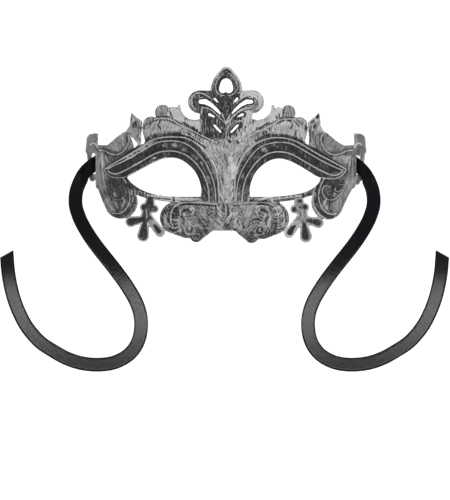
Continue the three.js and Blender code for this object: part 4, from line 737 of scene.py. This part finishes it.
    # pendant: dark inside, silver along its edge
    pend = inside_of(s["pendant"], 0.8) * (R > 198.2)
    lay(pend, 0.12, 0.4)
    heart_of_leaf = inside_of(joined(bar(D, R, (95, 221.2, 2.4), (88, 219.8, 1.4)), bar(D, R, (82.5, 234.6, 3.0), (81.4, 226, 1.4)), bar(D, R, (67.4, 231.0, 2.5), (71.6, 225.4, 1.4))), 0.5)
    lay(pend * ease(218, 221, R) * ease(79, 77, D), 0.5, 0.7)
    sunk = joined(bar(D, R, (71.3, 209.4, 2.5)), bar(D, R, (82.2, 206.7, 2.3)), bar(D, R, (76.7, 207.4, 1.1)), bar(D, R, (77.6, 201.0, 1.6), (76.0, 201.0, 1.6)),
                  bar(D, R, (82.3, 235.6, 3.5), (81.2, 222.8, 1.3)), bar(D, R, (95.0, 222.0, 2.6), (84.6, 219.4, 1.5)), bar(D, R, (66.8, 231.4, 3.0), (69.4, 226.8, 2.0)))
    lay(pend * inside_of(sunk, 0.4) * ~left, 0.03)
    lay(pend * inside_of(bar(D, R, (79.6, 209.6, 0.5), (79.2, 218, 0.6)), 0.5), 0.7, 0.7)
    lay(pend * heart_of_leaf, 0.03, 0.05)
    edge_run = pend * ease(-1.75, -1.05, s["plan"])
    line = np.maximum(line, np.where(left, 0.92, 0.86) * edge_run * (s["eye"] > 3))
    relief += 0.25 * edge_run
    # holes of the crest have dark edges
    lay(ease(2.3, 1.1, np.minimum(s["slots"], s["heart"] + 0.2)) * (s["plan"] < 0.5), 0.02, 0.04)
    line = line * (1 - ease(1.4, 0.7, s["slots"]))
    # edges catch the brush
    edge = ease(-1.5, -0.5, s["plan"]) * (s["eye"] > 3) * (s["slots"] > 2) * (s["heart"] > 2)
    silver_and_painted_shading = silver_and_painted_shading * (1 - 0.45 * hollow) + 0.12 * edge
    # the brush went light and even over the temples, rough over the middle
    wear = np.where(left, 1.0, 1.05)
    for area, rough in ((ease(27, 20, D) * ease(140, 148, R), 0.84), (inside_of(s["band"], 1.0), 0.56), (inside_of(s["nosecheek"], 1.5) * ease(201, 204, R), 0.5 + 0.4 * ease(46, 54, D)),
                        (inside_of(s["shell"], 1.5), 0.7), (inside_of(s["leaf"], 1.5), 0.6), (inside_of(s["horn"], 1.0), 0.5),
                        (inside_of(s["scroll"], 1.0) * (D > 12), np.where(left, 0.8, 0.55)), (inside_of(s["drop"], 1.0), 0.7), (ease(84, 97, D), 0.24), (inside_of(s["pendant"], 0.8) * (R > 198.2), 0.35)):
        wear = lerp(wear, rough, np.clip(area, 0, 1))
    return relief, line, np.clip(silver_and_painted_shading, 0, 1), wear


def brush_run(X, R):
    """Coordinates across and along the strokes of the dry brush, in mm."""
    D = np.abs(X)
    # vertical over the crest and brow, slanting outward beside the nose,
    # fanning on the temples
    lean = -0.5 * ease(140, 152, R) * ease(60, 22, D) - 0.55 * ease(86, 110, D) * ease(165, 145, R) - 0.4 * ease(38, 48, D) * ease(198, 206, R) * ease(86, 70, D)
    across = (X - np.sign(X) * lean * (R - 150)) * UNIT
    along = R * UNIT
    return across, along


# ------------------------------------------------------------- mask mesh
def net(step, with_front):
    """A square net over the plan, its rim drawn onto the outline."""
    xs = np.arange(-144, 144 + step, step)
    rs = np.arange(62, 246 + step, step)
    X, R = np.meshgrid(xs, rs)
    s = plan(X, R)
    near = np.abs(s) < 0.62 * step
    px, pr = X[near].copy(), R[near].copy()
    e = 0.05
    for _ in range(3):
        f = plan(px, pr)
        gx = (plan(px + e, pr) - plan(px - e, pr)) / (2 * e)
        gr = (plan(px, pr + e) - plan(px, pr - e)) / (2 * e)
        g2 = np.maximum(gx * gx + gr * gr, 0.2)
        px = px - np.clip(f * gx / g2, -0.3 * step, 0.3 * step)
        pr = pr - np.clip(f * gr / g2, -0.3 * step, 0.3 * step)
    X[near], R[near] = px, pr
    ok = (s < 0) | near
    ny, nx = X.shape
    idx = np.arange(ny * nx).reshape(ny, nx)
    a, b, c, d = idx[:-1, :-1], idx[:-1, 1:], idx[1:, 1:], idx[1:, :-1]
    oa, ob, oc, od = ok[:-1, :-1], ok[:-1, 1:], ok[1:, 1:], ok[1:, :-1]
    deep = s < 0
    some = deep[:-1, :-1] | deep[:-1, 1:] | deep[1:, 1:] | deep[1:, :-1]
    tris = []
    flip = ((np.indices(a.shape).sum(0)) % 2 == 0)
    four = oa & ob & oc & od & some
    for m, t in ((four & flip, ((a, c, b), (a, d, c))), (four & ~flip, ((a, d, b), (b, d, c))),
                 (oa & ob & oc & ~od & some, ((a, c, b),)), (oa & oc & od & ~ob & some, ((a, d, c),)),
                 (oa & ob & od & ~oc & some, ((a, d, b),)), (ob & oc & od & ~oa & some, ((b, d, c),))):
        for tri in t:
            tris.append(np.stack([q[m] for q in tri], -1))
    tris = np.vstack(tris)
    X, R = X.ravel(), R.ravel()
    # rows run downward, so this order faces up
    cx, cr = X[tris].mean(1), R[tris].mean(1)
    area = (X[tris[:, 1]] - X[tris[:, 0]]) * (R[tris[:, 2]] - R[tris[:, 0]]) - (R[tris[:, 1]] - R[tris[:, 0]]) * (X[tris[:, 2]] - X[tris[:, 0]])
    keep = (plan(cx, cr) < 0.12) & (np.abs(area) > 1e-4)
    tris, area = tris[keep], area[keep]
    tris = np.where((area > 0)[:, None], tris[:, [0, 2, 1]], tris)
    used, inv = np.unique(tris, return_inverse=True)
    return X[used], R[used], inv.reshape(-1, 3)


def rim_edges(tris):
    e = np.vstack([tris[:, [0, 1]], tris[:, [1, 2]], tris[:, [2, 0]]])
    n = int(tris.max()) + 1
    key, back = e[:, 0].astype(np.int64) * n + e[:, 1], e[:, 1].astype(np.int64) * n + e[:, 0]
    return e[~np.isin(key, back)]


def heights(X, R):
    s = shapes(X, R)
    u, v = X * UNIT, (MIDDLE_ROW - R) * UNIT
    bare = shell_height(u, v)
    relief, line, silver_and_painted_shading, wear = finish_and_painted_shading_maps(X, R, s)
    foot = np.abs(u) > FOOT_FROM
    fade = 1 - ease(-1.6, 0.0, s["plan"])
    body = np.where(foot, 0, carving(s) * np.clip(ease(FOOT_FROM, FOOT_FROM - 2, np.abs(u)) + 0.0, 0, 1))
    front = bare + body + relief * fade - EDGE_ROUND * ease(-1.0, 0, s["plan"] * UNIT)
    back = np.where(foot, 0, bare - WALL * np.sqrt(1 + shell_slope(u, v) ** 2))
    return u, v, front, np.maximum(0, back), line, silver_and_painted_shading, wear


Xf, Rf, Tf = net(FRONT_STEP, True)
uf, vf, zf, zb, line, silver_and_painted_shading, wear = heights(Xf, Rf)
front = drawn_in(uf, vf, zf)
rim = rim_edges(Tf)
ring, rinv = np.unique(rim, return_inverse=True)
rinv = rinv.reshape(-1, 2)
top_ring = front[ring]
low_ring = drawn_in(uf[ring], vf[ring], zb[ring])
Xb, Rb, Tb = net(BACK_STEP, False)
ub, vb = Xb * UNIT, (MIDDLE_ROW - Rb) * UNIT
zbb = np.where(np.abs(ub) > FOOT_FROM, 0, np.maximum(0, shell_height(ub, vb) - WALL * np.sqrt(1 + shell_slope(ub, vb) ** 2)))
back = drawn_in(ub, vb, zbb)

nf, nr = len(front), len(ring)
verts = np.vstack([front, top_ring, low_ring, back])
o1, o2, o3 = nf, nf + nr, nf + 2 * nr
p, q = rinv[:, 0], rinv[:, 1]
walls = np.vstack([np.stack([o1 + p, o2 + p, o2 + q], -1), np.stack([o1 + p, o2 + q, o1 + q], -1)])
tris = np.vstack([Tf, walls, Tb[:, [0, 2, 1]] + o3])

# the CAD's own centring
lo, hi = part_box("mask")[:2] if not isinstance(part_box("mask"), dict) else (None, None)
cad_mid = (np.array(lo) + np.array(hi)) / 2
shift = np.array([cad_mid[0] - (verts[:, 0].min() + verts[:, 0].max()) / 2000,
                  cad_mid[1] - (verts[:, 1].min() + verts[:, 1].max()) / 2000, 0.0])
print("mask mesh", len(tris), "triangles")


def mesh_object(name, verts_m, faces, smooth=True):
    me = bpy.data.meshes.new(name)
    me.vertices.add(len(verts_m))
    me.vertices.foreach_set("co", np.ascontiguousarray(verts_m, dtype=np.float32).ravel())
    k = faces.shape[1]
    me.loops.add(faces.size)
    me.loops.foreach_set("vertex_index", np.ascontiguousarray(faces, dtype=np.int32).ravel())
    me.polygons.add(len(faces))
    me.polygons.foreach_set("loop_start", np.arange(0, faces.size, k, dtype=np.int32))
    me.polygons.foreach_set("use_smooth", np.full(len(faces), smooth))
    me.update()
    me.validate()
    ob = bpy.data.objects.new(name, me)
    bpy.context.scene.collection.objects.link(ob)
    return ob


def attribute(ob, name, values, kind="FLOAT"):
    at = ob.data.attributes.new(name, kind, "POINT")
    values = np.ascontiguousarray(values, dtype=np.float32)
    at.data.foreach_set("value" if kind == "FLOAT" else "vector", values.ravel())


mask = mesh_object("mask_moulding", verts / 1000 + shift, tris)
Xall = np.concatenate([Xf, Xf[ring], Xf[ring], Xb])
Rall = np.concatenate([Rf, Rf[ring], Rf[ring], Rb])
ac, al = brush_run(Xall, Rall)
attribute(mask, "line", np.concatenate([line, line[ring] * 0.3, np.zeros(nr), np.zeros(len(Xb))]))
attribute(mask, "silver_and_painted_shading", np.concatenate([silver_and_painted_shading, silver_and_painted_shading[ring] * 0.55, np.full(nr, 0.04), np.full(len(Xb), 0.0)]))
attribute(mask, "wear", np.concatenate([wear, wear[ring], np.full(nr, 0.5), np.full(len(Xb), 0.3)]))
attribute(mask, "brush", np.stack([ac, al, np.zeros(len(ac))], -1), "FLOAT_VECTOR")
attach(mask, "root")
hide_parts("mask")

# ---------------------------------------------------------------- ribbons
RIBBON_WIDTH, RIBBON_THICK = 9.6, 0.34
THREAD = [(83.5, 0), (87.4, 0), (89.4, 0.5), (90.6, 2.2), (90.8, 4.4), (90.95, 6.8), (91.7, 7.5), (93.0, 6.6),
          (94.8, 4.6), (96.7, 2.5), (98.5, 0.6), (100.6, 0)]
COURSE = {-1: [(121, 156.4), (131, 163.8), (136.8, 168.1), (140.1, 171.7), (142.75, 175.4), (145.8, 181.0)],
          1: [(119, 156.0), (129.7, 163.9), (134.3, 167.9), (137.6, 171.8), (139.9, 175.4), (142.95, 181.0)]}
LAY = [(-147.3, 184.4), (-149.3, 190), (-150.5, 198), (-150.2, 206), (-148.3, 213), (-145.4, 220.5), (-140.3, 230),
       (-133.9, 240), (-126.3, 250.2), (-110.6, 270), (-99.1, 286), (-89.9, 302), (-85.9, 314), (-84.9, 325), (-86.6, 337.5),
       (-91.4, 348), (-99.4, 356.3), (-112.6, 362.7), (-128.6, 364.7), (-145.6, 362.9), (-160, 358), (-173, 350.8), (-186, 342),
       (-199, 327), (-206.6, 313), (-212, 299), (-215.6, 285), (-218, 270), (-219.3, 253.8)]
CUT = [(-226, 257.5), (-212.6, 250)]
ARCH = 1.2                        # slope, in degrees, at which the loops come down to the floor


def loop_rise(R):
    """The ribbon isn't pressed flat: its upper part lies a hair off the floor, in mm."""
    t = math.tan(math.radians(ARCH)) * UNIT
    return t * (eased(252, 292, 374.0) - eased(252, 292, R))


def thread_form():
    p = np.array(THREAD, float)
    prev, nxt = np.vstack([p[:1], p[:-1]]), np.vstack([p[1:], p[-1:]])
    d = nxt - prev
    d /= np.linalg.norm(d, axis=1)[:, None]
    return p, np.stack([-d[:, 1], d[:, 0]], -1)


def ribbon_path(side):
    def place(p):
        return p if side < 0 else (-p[0] - 2.85, p[1])
    course = COURSE[side]
    pts = []
    for a, _ in THREAD:
        x = a / UNIT - (0 if side < 0 else 2.85 * float(ease(134, 143, np.array(a / UNIT))))
        i = 1
        while i < len(course) - 1 and x > course[i][0]:
            i += 1
        (x0, r0), (x1, r1) = course[i - 1], course[i]
        pts.append((side * x, r0 + (r1 - r0) * (x - x0) / (x1 - x0)))
    pts = np.array(pts + [place(p) for p in LAY], float)
    # centripetal spline, sampled finely
    q = np.vstack([2 * pts[0] - pts[1], pts, 2 * pts[-1] - pts[-2]])
    fine = []
    for i in range(1, len(q) - 2):
        p0, p1, p2, p3 = q[i - 1:i + 3]
        t0 = 0.0
        t1 = t0 + np.linalg.norm(p1 - p0) ** 0.5
        t2 = t1 + np.linalg.norm(p2 - p1) ** 0.5
        t3 = t2 + np.linalg.norm(p3 - p2) ** 0.5
        t = np.linspace(t1, t2, 24, endpoint=False)[:, None]
        A1 = (t1 - t) / (t1 - t0) * p0 + (t - t0) / (t1 - t0) * p1
        A2 = (t2 - t) / (t2 - t1) * p1 + (t - t1) / (t2 - t1) * p2
        A3 = (t3 - t) / (t3 - t2) * p2 + (t - t2) / (t3 - t2) * p3
        B1 = (t2 - t) / (t2 - t0) * A1 + (t - t0) / (t2 - t0) * A2
        B2 = (t3 - t) / (t3 - t1) * A2 + (t - t1) / (t3 - t1) * A3
        fine.append((t2 - t) / (t2 - t1) * B1 + (t - t1) / (t2 - t1) * B2)
    fine = np.vstack(fine + [pts[-1:]])
    dist = np.concatenate([[0], np.cumsum(np.hypot(*np.diff(fine, axis=0).T))])
    return fine, dist, [place(c) for c in CUT]


def ribbon(side, name, node):
    fine, dist, cut = ribbon_path(side)
    total = dist[-1]
    n = 420
    t = np.concatenate([np.linspace(0, 0.092, 90, endpoint=False), np.linspace(0.092, 1, n - 90)])
    S = t * total
    c = np.stack([np.interp(S, dist, fine[:, k]) for k in (0, 1)], -1)
    ds = 2.5
    ahead = np.stack([np.interp(np.minimum(S + ds, total), dist, fine[:, k]) for k in (0, 1)], -1)
    behind = np.stack([np.interp(np.maximum(S - ds, 0), dist, fine[:, k]) for k in (0, 1)], -1)
    d = ahead - behind
    d /= np.linalg.norm(d, axis=1)[:, None]
    # upright in the slot, then turning square to the path
    half = RIBBON_WIDTH / 2 / UNIT
    along_slot = 1 - ease(14, 40, S)
    square = np.arctan2(side * d[:, 0], -side * d[:, 1])
    turn = square + ((math.pi / 2 - square + math.pi) % (2 * math.pi) - math.pi) * along_slot
    wide = half + (np.minimum(8.35, half / np.maximum(np.abs(d[:, 0]), 0.01)) - half) * along_slot
    across = np.stack([np.cos(turn), np.sin(turn)], -1) * wide[:, None]
    # the slanting cut end
    end_c = (np.array(cut[0]) + np.array(cut[1])) / 2
    end_n = (np.array(cut[1]) - np.array(cut[0])) / 2
    if np.dot(end_n, across[-1]) < 0:
        end_n = -end_n
    w = ease(1 - 14 / total, 1.0, t)[:, None]
    across = across * (1 - w) + end_n * w
    c = c * (1 - w) + (c + (end_c - c[-1])) * w
    lift = 1 - ease(27, 44, S)
    m = 15                                       # points across
    f = np.linspace(-1, 1, m)
    P = c[:, None, :] + across[:, None, :] * f[None, :, None]
    u, v = P[..., 0] * UNIT, (MIDDLE_ROW - P[..., 1]) * UNIT
    TP, TN = thread_form()
    au = np.abs(u)
    lf = lift[:, None]
    over = np.interp(au, TP[:, 0], TP[:, 1]) * lf
    aside = np.interp(au, TP[:, 0], TN[:, 0], right=0) * lf
    up = 1 - (1 - np.interp(au, TP[:, 0], TN[:, 1], right=1)) * lf
    z = over + loop_rise(P[..., 1]) * ease(40, 100, S)[:, None]
    # the woven edges are a touch thicker
    th = RIBBON_THICK * (1 + 0.45 * np.exp(-(((np.abs(f) - 0.93) / 0.05) ** 2)))[None, :]
    edge = np.minimum(1, np.sqrt(np.maximum(0, 1 - (np.abs(f) - 0.96).clip(0) / 0.04 * 0.75)))[None, :]
    hi, lo_ = 0.04 + th * edge, 0.04 * np.ones_like(edge)
    zt, zl = z + hi * up, z + lo_ * up
    ut, ul = u + np.sign(u) * hi * aside, u + np.sign(u) * lo_ * aside
    N = len(t)
    topv = drawn_in(ut, v, zt).reshape(-1, 3)
    lowv = drawn_in(ul, v, zl).reshape(-1, 3)
    idx = np.arange(N * m).reshape(N, m)
    A, B, C, Dq = idx[:-1, :-1], idx[:-1, 1:], idx[1:, 1:], idx[1:, :-1]
    top = np.stack([A, B, C, Dq], -1).reshape(-1, 4)
    o = N * m
    low = top[:, ::-1] + o
    s0 = np.stack([idx[:-1, 0], idx[1:, 0], idx[1:, 0] + o, idx[:-1, 0] + o], -1)
    s1 = np.stack([idx[1:, -1], idx[:-1, -1], idx[:-1, -1] + o, idx[1:, -1] + o], -1)
    e0 = np.stack([idx[0, 1:], idx[0, :-1], idx[0, :-1] + o, idx[0, 1:] + o], -1)
    e1 = np.stack([idx[-1, :-1], idx[-1, 1:], idx[-1, 1:] + o, idx[-1, :-1] + o], -1)
    faces = np.vstack([top, low, s0, s1, e0, e1])
    V = np.vstack([topv, lowv])
    # face up
    a, b, cc = V[top[len(top) // 2, 0]], V[top[len(top) // 2, 1]], V[top[len(top) // 2, 2]]
    if np.cross(b - a, cc - a)[2] < 0:
        faces = faces[:, ::-1]
    ob = mesh_object(name, V / 1000 + shift, faces)
    al = np.repeat(S[:, None] * UNIT, m, 1)
    ac = np.repeat(f[None, :] * RIBBON_WIDTH / 2, N, 0)
    attribute(ob, "weave", np.stack([np.tile(ac.ravel(), 2), np.tile(al.ravel(), 2), np.zeros(2 * N * m)], -1), "FLOAT_VECTOR")
    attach(ob, "root")
    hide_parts(node)
    return ob


ribbons = [ribbon(-1, "satin_ribbon_left", "ribbon_left"), ribbon(1, "satin_ribbon_right", "ribbon_right")]


# -------------------------------------------------------------- materials
def linear(s):
    s = s / 255
    return s / 12.92 if s <= 0.04045 else ((s + 0.055) / 1.055) ** 2.4


class Nodes:
    def __init__(self, name):
        self.mat = bpy.data.materials.new(name)
        self.mat.use_nodes = True
        self.t = self.mat.node_tree
        self.t.nodes.clear()
        self.out = self.t.nodes.new("ShaderNodeOutputMaterial")
        self.bsdf = self.t.nodes.new("ShaderNodeBsdfPrincipled")
        self.link(self.bsdf.outputs[0], self.out.inputs[0])

    def link(self, a, b):
        self.t.links.new(a, b)

    def put(self, socket, value):
        if hasattr(value, "node"):
            self.link(value, socket)
        else:
            socket.default_value = value

    def math(self, op, a, b=0.0, c=None, clamp=False):
        n = self.t.nodes.new("ShaderNodeMath")
        n.operation = op
        n.use_clamp = clamp
        self.put(n.inputs[0], a)
        self.put(n.inputs[1], b)
        if c is not None:
            self.put(n.inputs[2], c)
        return n.outputs[0]

    def step(self, x, a, b, lo=0.0, hi=1.0):
        n = self.t.nodes.new("ShaderNodeMapRange")
        n.interpolation_type = "SMOOTHSTEP"
        for k, val in enumerate((x, a, b, lo, hi)):
            self.put(n.inputs[k], val)
        return n.outputs[0]

    def mix(self, f, a, b):
        n = self.t.nodes.new("ShaderNodeMix")
        n.data_type = "RGBA"
        self.put(n.inputs[0], f)
        self.put(n.inputs[6], a)
        self.put(n.inputs[7], b)
        return n.outputs[2]

    def attr(self, name, vector=False):
        n = self.t.nodes.new("ShaderNodeAttribute")
        n.attribute_name = name
        return n.outputs["Vector"] if vector else n.outputs["Fac"]

    def noise(self, vec, scale, detail=3.0, rough=0.55, stretch=None):
        if stretch is not None:
            m = self.t.nodes.new("ShaderNodeMapping")
            m.inputs["Scale"].default_value = stretch
            self.link(vec, m.inputs[0])
            vec = m.outputs[0]
        n = self.t.nodes.new("ShaderNodeTexNoise")
        n.inputs["Scale"].default_value = scale
        n.inputs["Detail"].default_value = detail
        n.inputs["Roughness"].default_value = rough
        self.link(vec, n.inputs["Vector"])
        return n.outputs[0]

    def position(self):
        return self.t.nodes.new("ShaderNodeTexCoord").outputs["Object"]

    def bump(self, height, strength, distance, normal=None):
        n = self.t.nodes.new("ShaderNodeBump")
        n.inputs["Strength"].default_value = strength
        n.inputs["Distance"].default_value = distance
        self.link(height, n.inputs["Height"])
        if normal is not None:
            self.link(normal, n.inputs["Normal"])
        return n.outputs[0]


def grey(s, tint=(1.0, 1.0, 1.0)):
    v = linear(s)
    return (v * tint[0], v * tint[1], v * tint[2], 1.0)


# dry-brushed silver over charcoal: hatching strokes, broad strands, a few specks
M = Nodes("dry_brushed_silver")
pos = M.position()
brush = M.attr("brush", True)
wear = M.attr("wear")
hatch = M.noise(brush, 1.0, 2.0, 0.5, (1.9, 0.22, 1.0))
strand = M.noise(brush, 1.0, 2.0, 0.5, (0.7, 0.10, 1.0))
speck = M.noise(pos, 900.0, 2.0, 0.5)
cloud = M.noise(pos, 130.0, 3.0, 0.5)
grain = M.noise(pos, 2600.0, 2.0, 0.6)
n1 = M.math("MULTIPLY_ADD", M.math("SUBTRACT", hatch, 0.5), 2.3, M.math("MULTIPLY", M.math("SUBTRACT", speck, 0.5), 0.9))
n2 = M.math("MULTIPLY_ADD", M.math("SUBTRACT", strand, 0.5), 1.0, n1)
n3 = M.math("MULTIPLY_ADD", M.math("SUBTRACT", cloud, 0.5), 0.5, M.math("MULTIPLY", n2, wear))
field = M.math("ADD", M.attr("silver_and_painted_shading"), n3)
silvered = M.step(field, 0.02, 0.98)
worn = M.step(M.math("MULTIPLY_ADD", M.math("SUBTRACT", speck, 0.5), 0.7, M.attr("line")), 0.20, 0.85)
amount = M.math("MAXIMUM", silvered, worn, clamp=True)
dark = M.mix(cloud, grey(36), grey(46))
bright = M.mix(M.math("MULTIPLY_ADD", speck, 0.5, M.math("MULTIPLY", hatch, 0.5)), grey(182), grey(236))
M.link(M.mix(amount, dark, bright), M.bsdf.inputs["Base Color"])
M.link(M.math("MULTIPLY", amount, 0.25), M.bsdf.inputs["Metallic"])
M.link(M.math("SUBTRACT", 0.56, M.math("MULTIPLY", amount, 0.14)), M.bsdf.inputs["Roughness"])
b1 = M.bump(M.math("MULTIPLY_ADD", hatch, 0.6, M.math("MULTIPLY", speck, 0.6)), 0.5, 0.00025)
M.link(M.bump(grain, 0.25, 0.0001, b1), M.bsdf.inputs["Normal"])
M.bsdf.inputs["Specular IOR Level"].default_value = 0.3
mask.data.materials.append(M.mat)

# black satin: fine ribs across, a fine warp along, a firmer woven edge
S_ = Nodes("black_satin")
weave = S_.attr("weave", True)
sep = S_.t.nodes.new("ShaderNodeSeparateXYZ")
S_.link(weave, sep.inputs[0])
wx, wy = sep.outputs[0], sep.outputs[1]
ribs = S_.math("SINE", S_.math("MULTIPLY", wy, 2 * math.pi / 0.42))
warp = S_.math("SINE", S_.math("MULTIPLY", wx, 2 * math.pi / 0.30))
fibre = S_.noise(weave, 1.0, 3.0, 0.6, (6.0, 0.5, 1.0))
edge = S_.step(S_.math("ABSOLUTE", wx), 4.2, 4.5)
cloth = S_.math("MULTIPLY_ADD", ribs, 0.35, S_.math("MULTIPLY_ADD", warp, 0.25, fibre))
dye = S_.mix(fibre, (0.0066, 0.0071, 0.0090, 1), (0.0120, 0.0130, 0.0156, 1))
past_painted_bar_shade = S_.step(wy, 17.0, 27.0)                   # painted shade: near-black base colour by the strap bar, dull there too; glossy beyond it
S_.link(S_.mix(past_painted_bar_shade, (0.0006, 0.0006, 0.0009, 1), dye), S_.bsdf.inputs["Base Color"])
gloss = S_.math("MULTIPLY_ADD", edge, 0.12, S_.math("MULTIPLY_ADD", fibre, 0.015, 0.095))
S_.link(S_.math("MULTIPLY_ADD", past_painted_bar_shade, S_.math("SUBTRACT", gloss, 0.8), 0.8), S_.bsdf.inputs["Roughness"])
S_.link(S_.bump(cloth, 0.035, 0.00004), S_.bsdf.inputs["Normal"])
S_.bsdf.inputs["Sheen Weight"].default_value = 0.02
S_.bsdf.inputs["Specular IOR Level"].default_value = 0.115
for r in ribbons:
    r.data.materials.append(S_.mat)

# ------------------------------------------------- floor, light, camera
floor = mesh_object("floor", np.array([[-3, -3, -0.0004], [3, -3, -0.0004], [3, 3, -0.0004], [-3, 3, -0.0004]]), np.array([[0, 1, 2, 3]]))
F = Nodes("pale_floor")
F.bsdf.inputs["Base Color"].default_value = (0.3, 0.3, 0.3, 1)
F.bsdf.inputs["Roughness"].default_value = 0.7
F.bsdf.inputs["Specular IOR Level"].default_value = 0.1
F.bsdf.inputs["Emission Color"].default_value = (1, 1, 1, 1)
F.bsdf.inputs["Emission Strength"].default_value = 1.0
floor.data.materials.append(F.mat)

world = bpy.data.worlds.new("studio")
bpy.context.scene.world = world
world.use_nodes = True
bg = world.node_tree.nodes.get("Background") or world.node_tree.nodes.new("ShaderNodeBackground")
bg.inputs[0].default_value = (1, 1, 1, 1)
bg.inputs[1].default_value = 0.16


def softbox(name, at, aim, size, power):
    L = bpy.data.lights.new(name, "AREA")
    L.shape = "RECTANGLE"
    L.size, L.size_y = size
    L.energy = power
    o = bpy.data.objects.new(name, L)
    o.location = at
    o.rotation_euler = (Vector(aim) - Vector(at)).to_track_quat("-Z", "Y").to_euler()
    bpy.context.scene.collection.objects.link(o)
    return o


mid = (0.0, -0.06, 0.0)
softbox("high_left", (-0.9, 1.25, 1.3), mid, (1.1, 1.0), 8.2)
softbox("high_right", (0.9, 1.25, 1.3), mid, (1.1, 1.0), 12.6)
softbox("low_left", (-0.9, -1.35, 1.3), mid, (1.1, 1.0), 8.2)
softbox("low_right", (0.9, -1.35, 1.3), mid, (1.1, 1.0), 9.9)
softbox("band", (0.0, -0.226, 2.0), (0.0, -0.226, 0.0), (0.75, 0.076), 4.35)

cam_data = bpy.data.cameras.new("camera")
cam = bpy.data.objects.new("camera", cam_data)
bpy.context.scene.collection.objects.link(cam)
cam_data.sensor_fit = "VERTICAL"
cam_data.sensor_height = 36
cam_data.sensor_width = 36 * 450 / 500
cam_data.lens = 36 * SIGHT_HEIGHT / (500 * UNIT)
cam_data.clip_end = 20
cam.location = (SIGHT_OFF / 1000 + shift[0], (MIDDLE_ROW - SIGHT_ROW) * UNIT / 1000 + shift[1], SIGHT_HEIGHT / 1000)
cam.rotation_euler = (0, 0, 0)
bpy.context.scene.camera = cam

view = bpy.context.scene.view_settings
view.view_transform = "Standard"
view.look = "None"
view.exposure = 0.0
view.gamma = 1.0

bpy.context.view_layer.update()
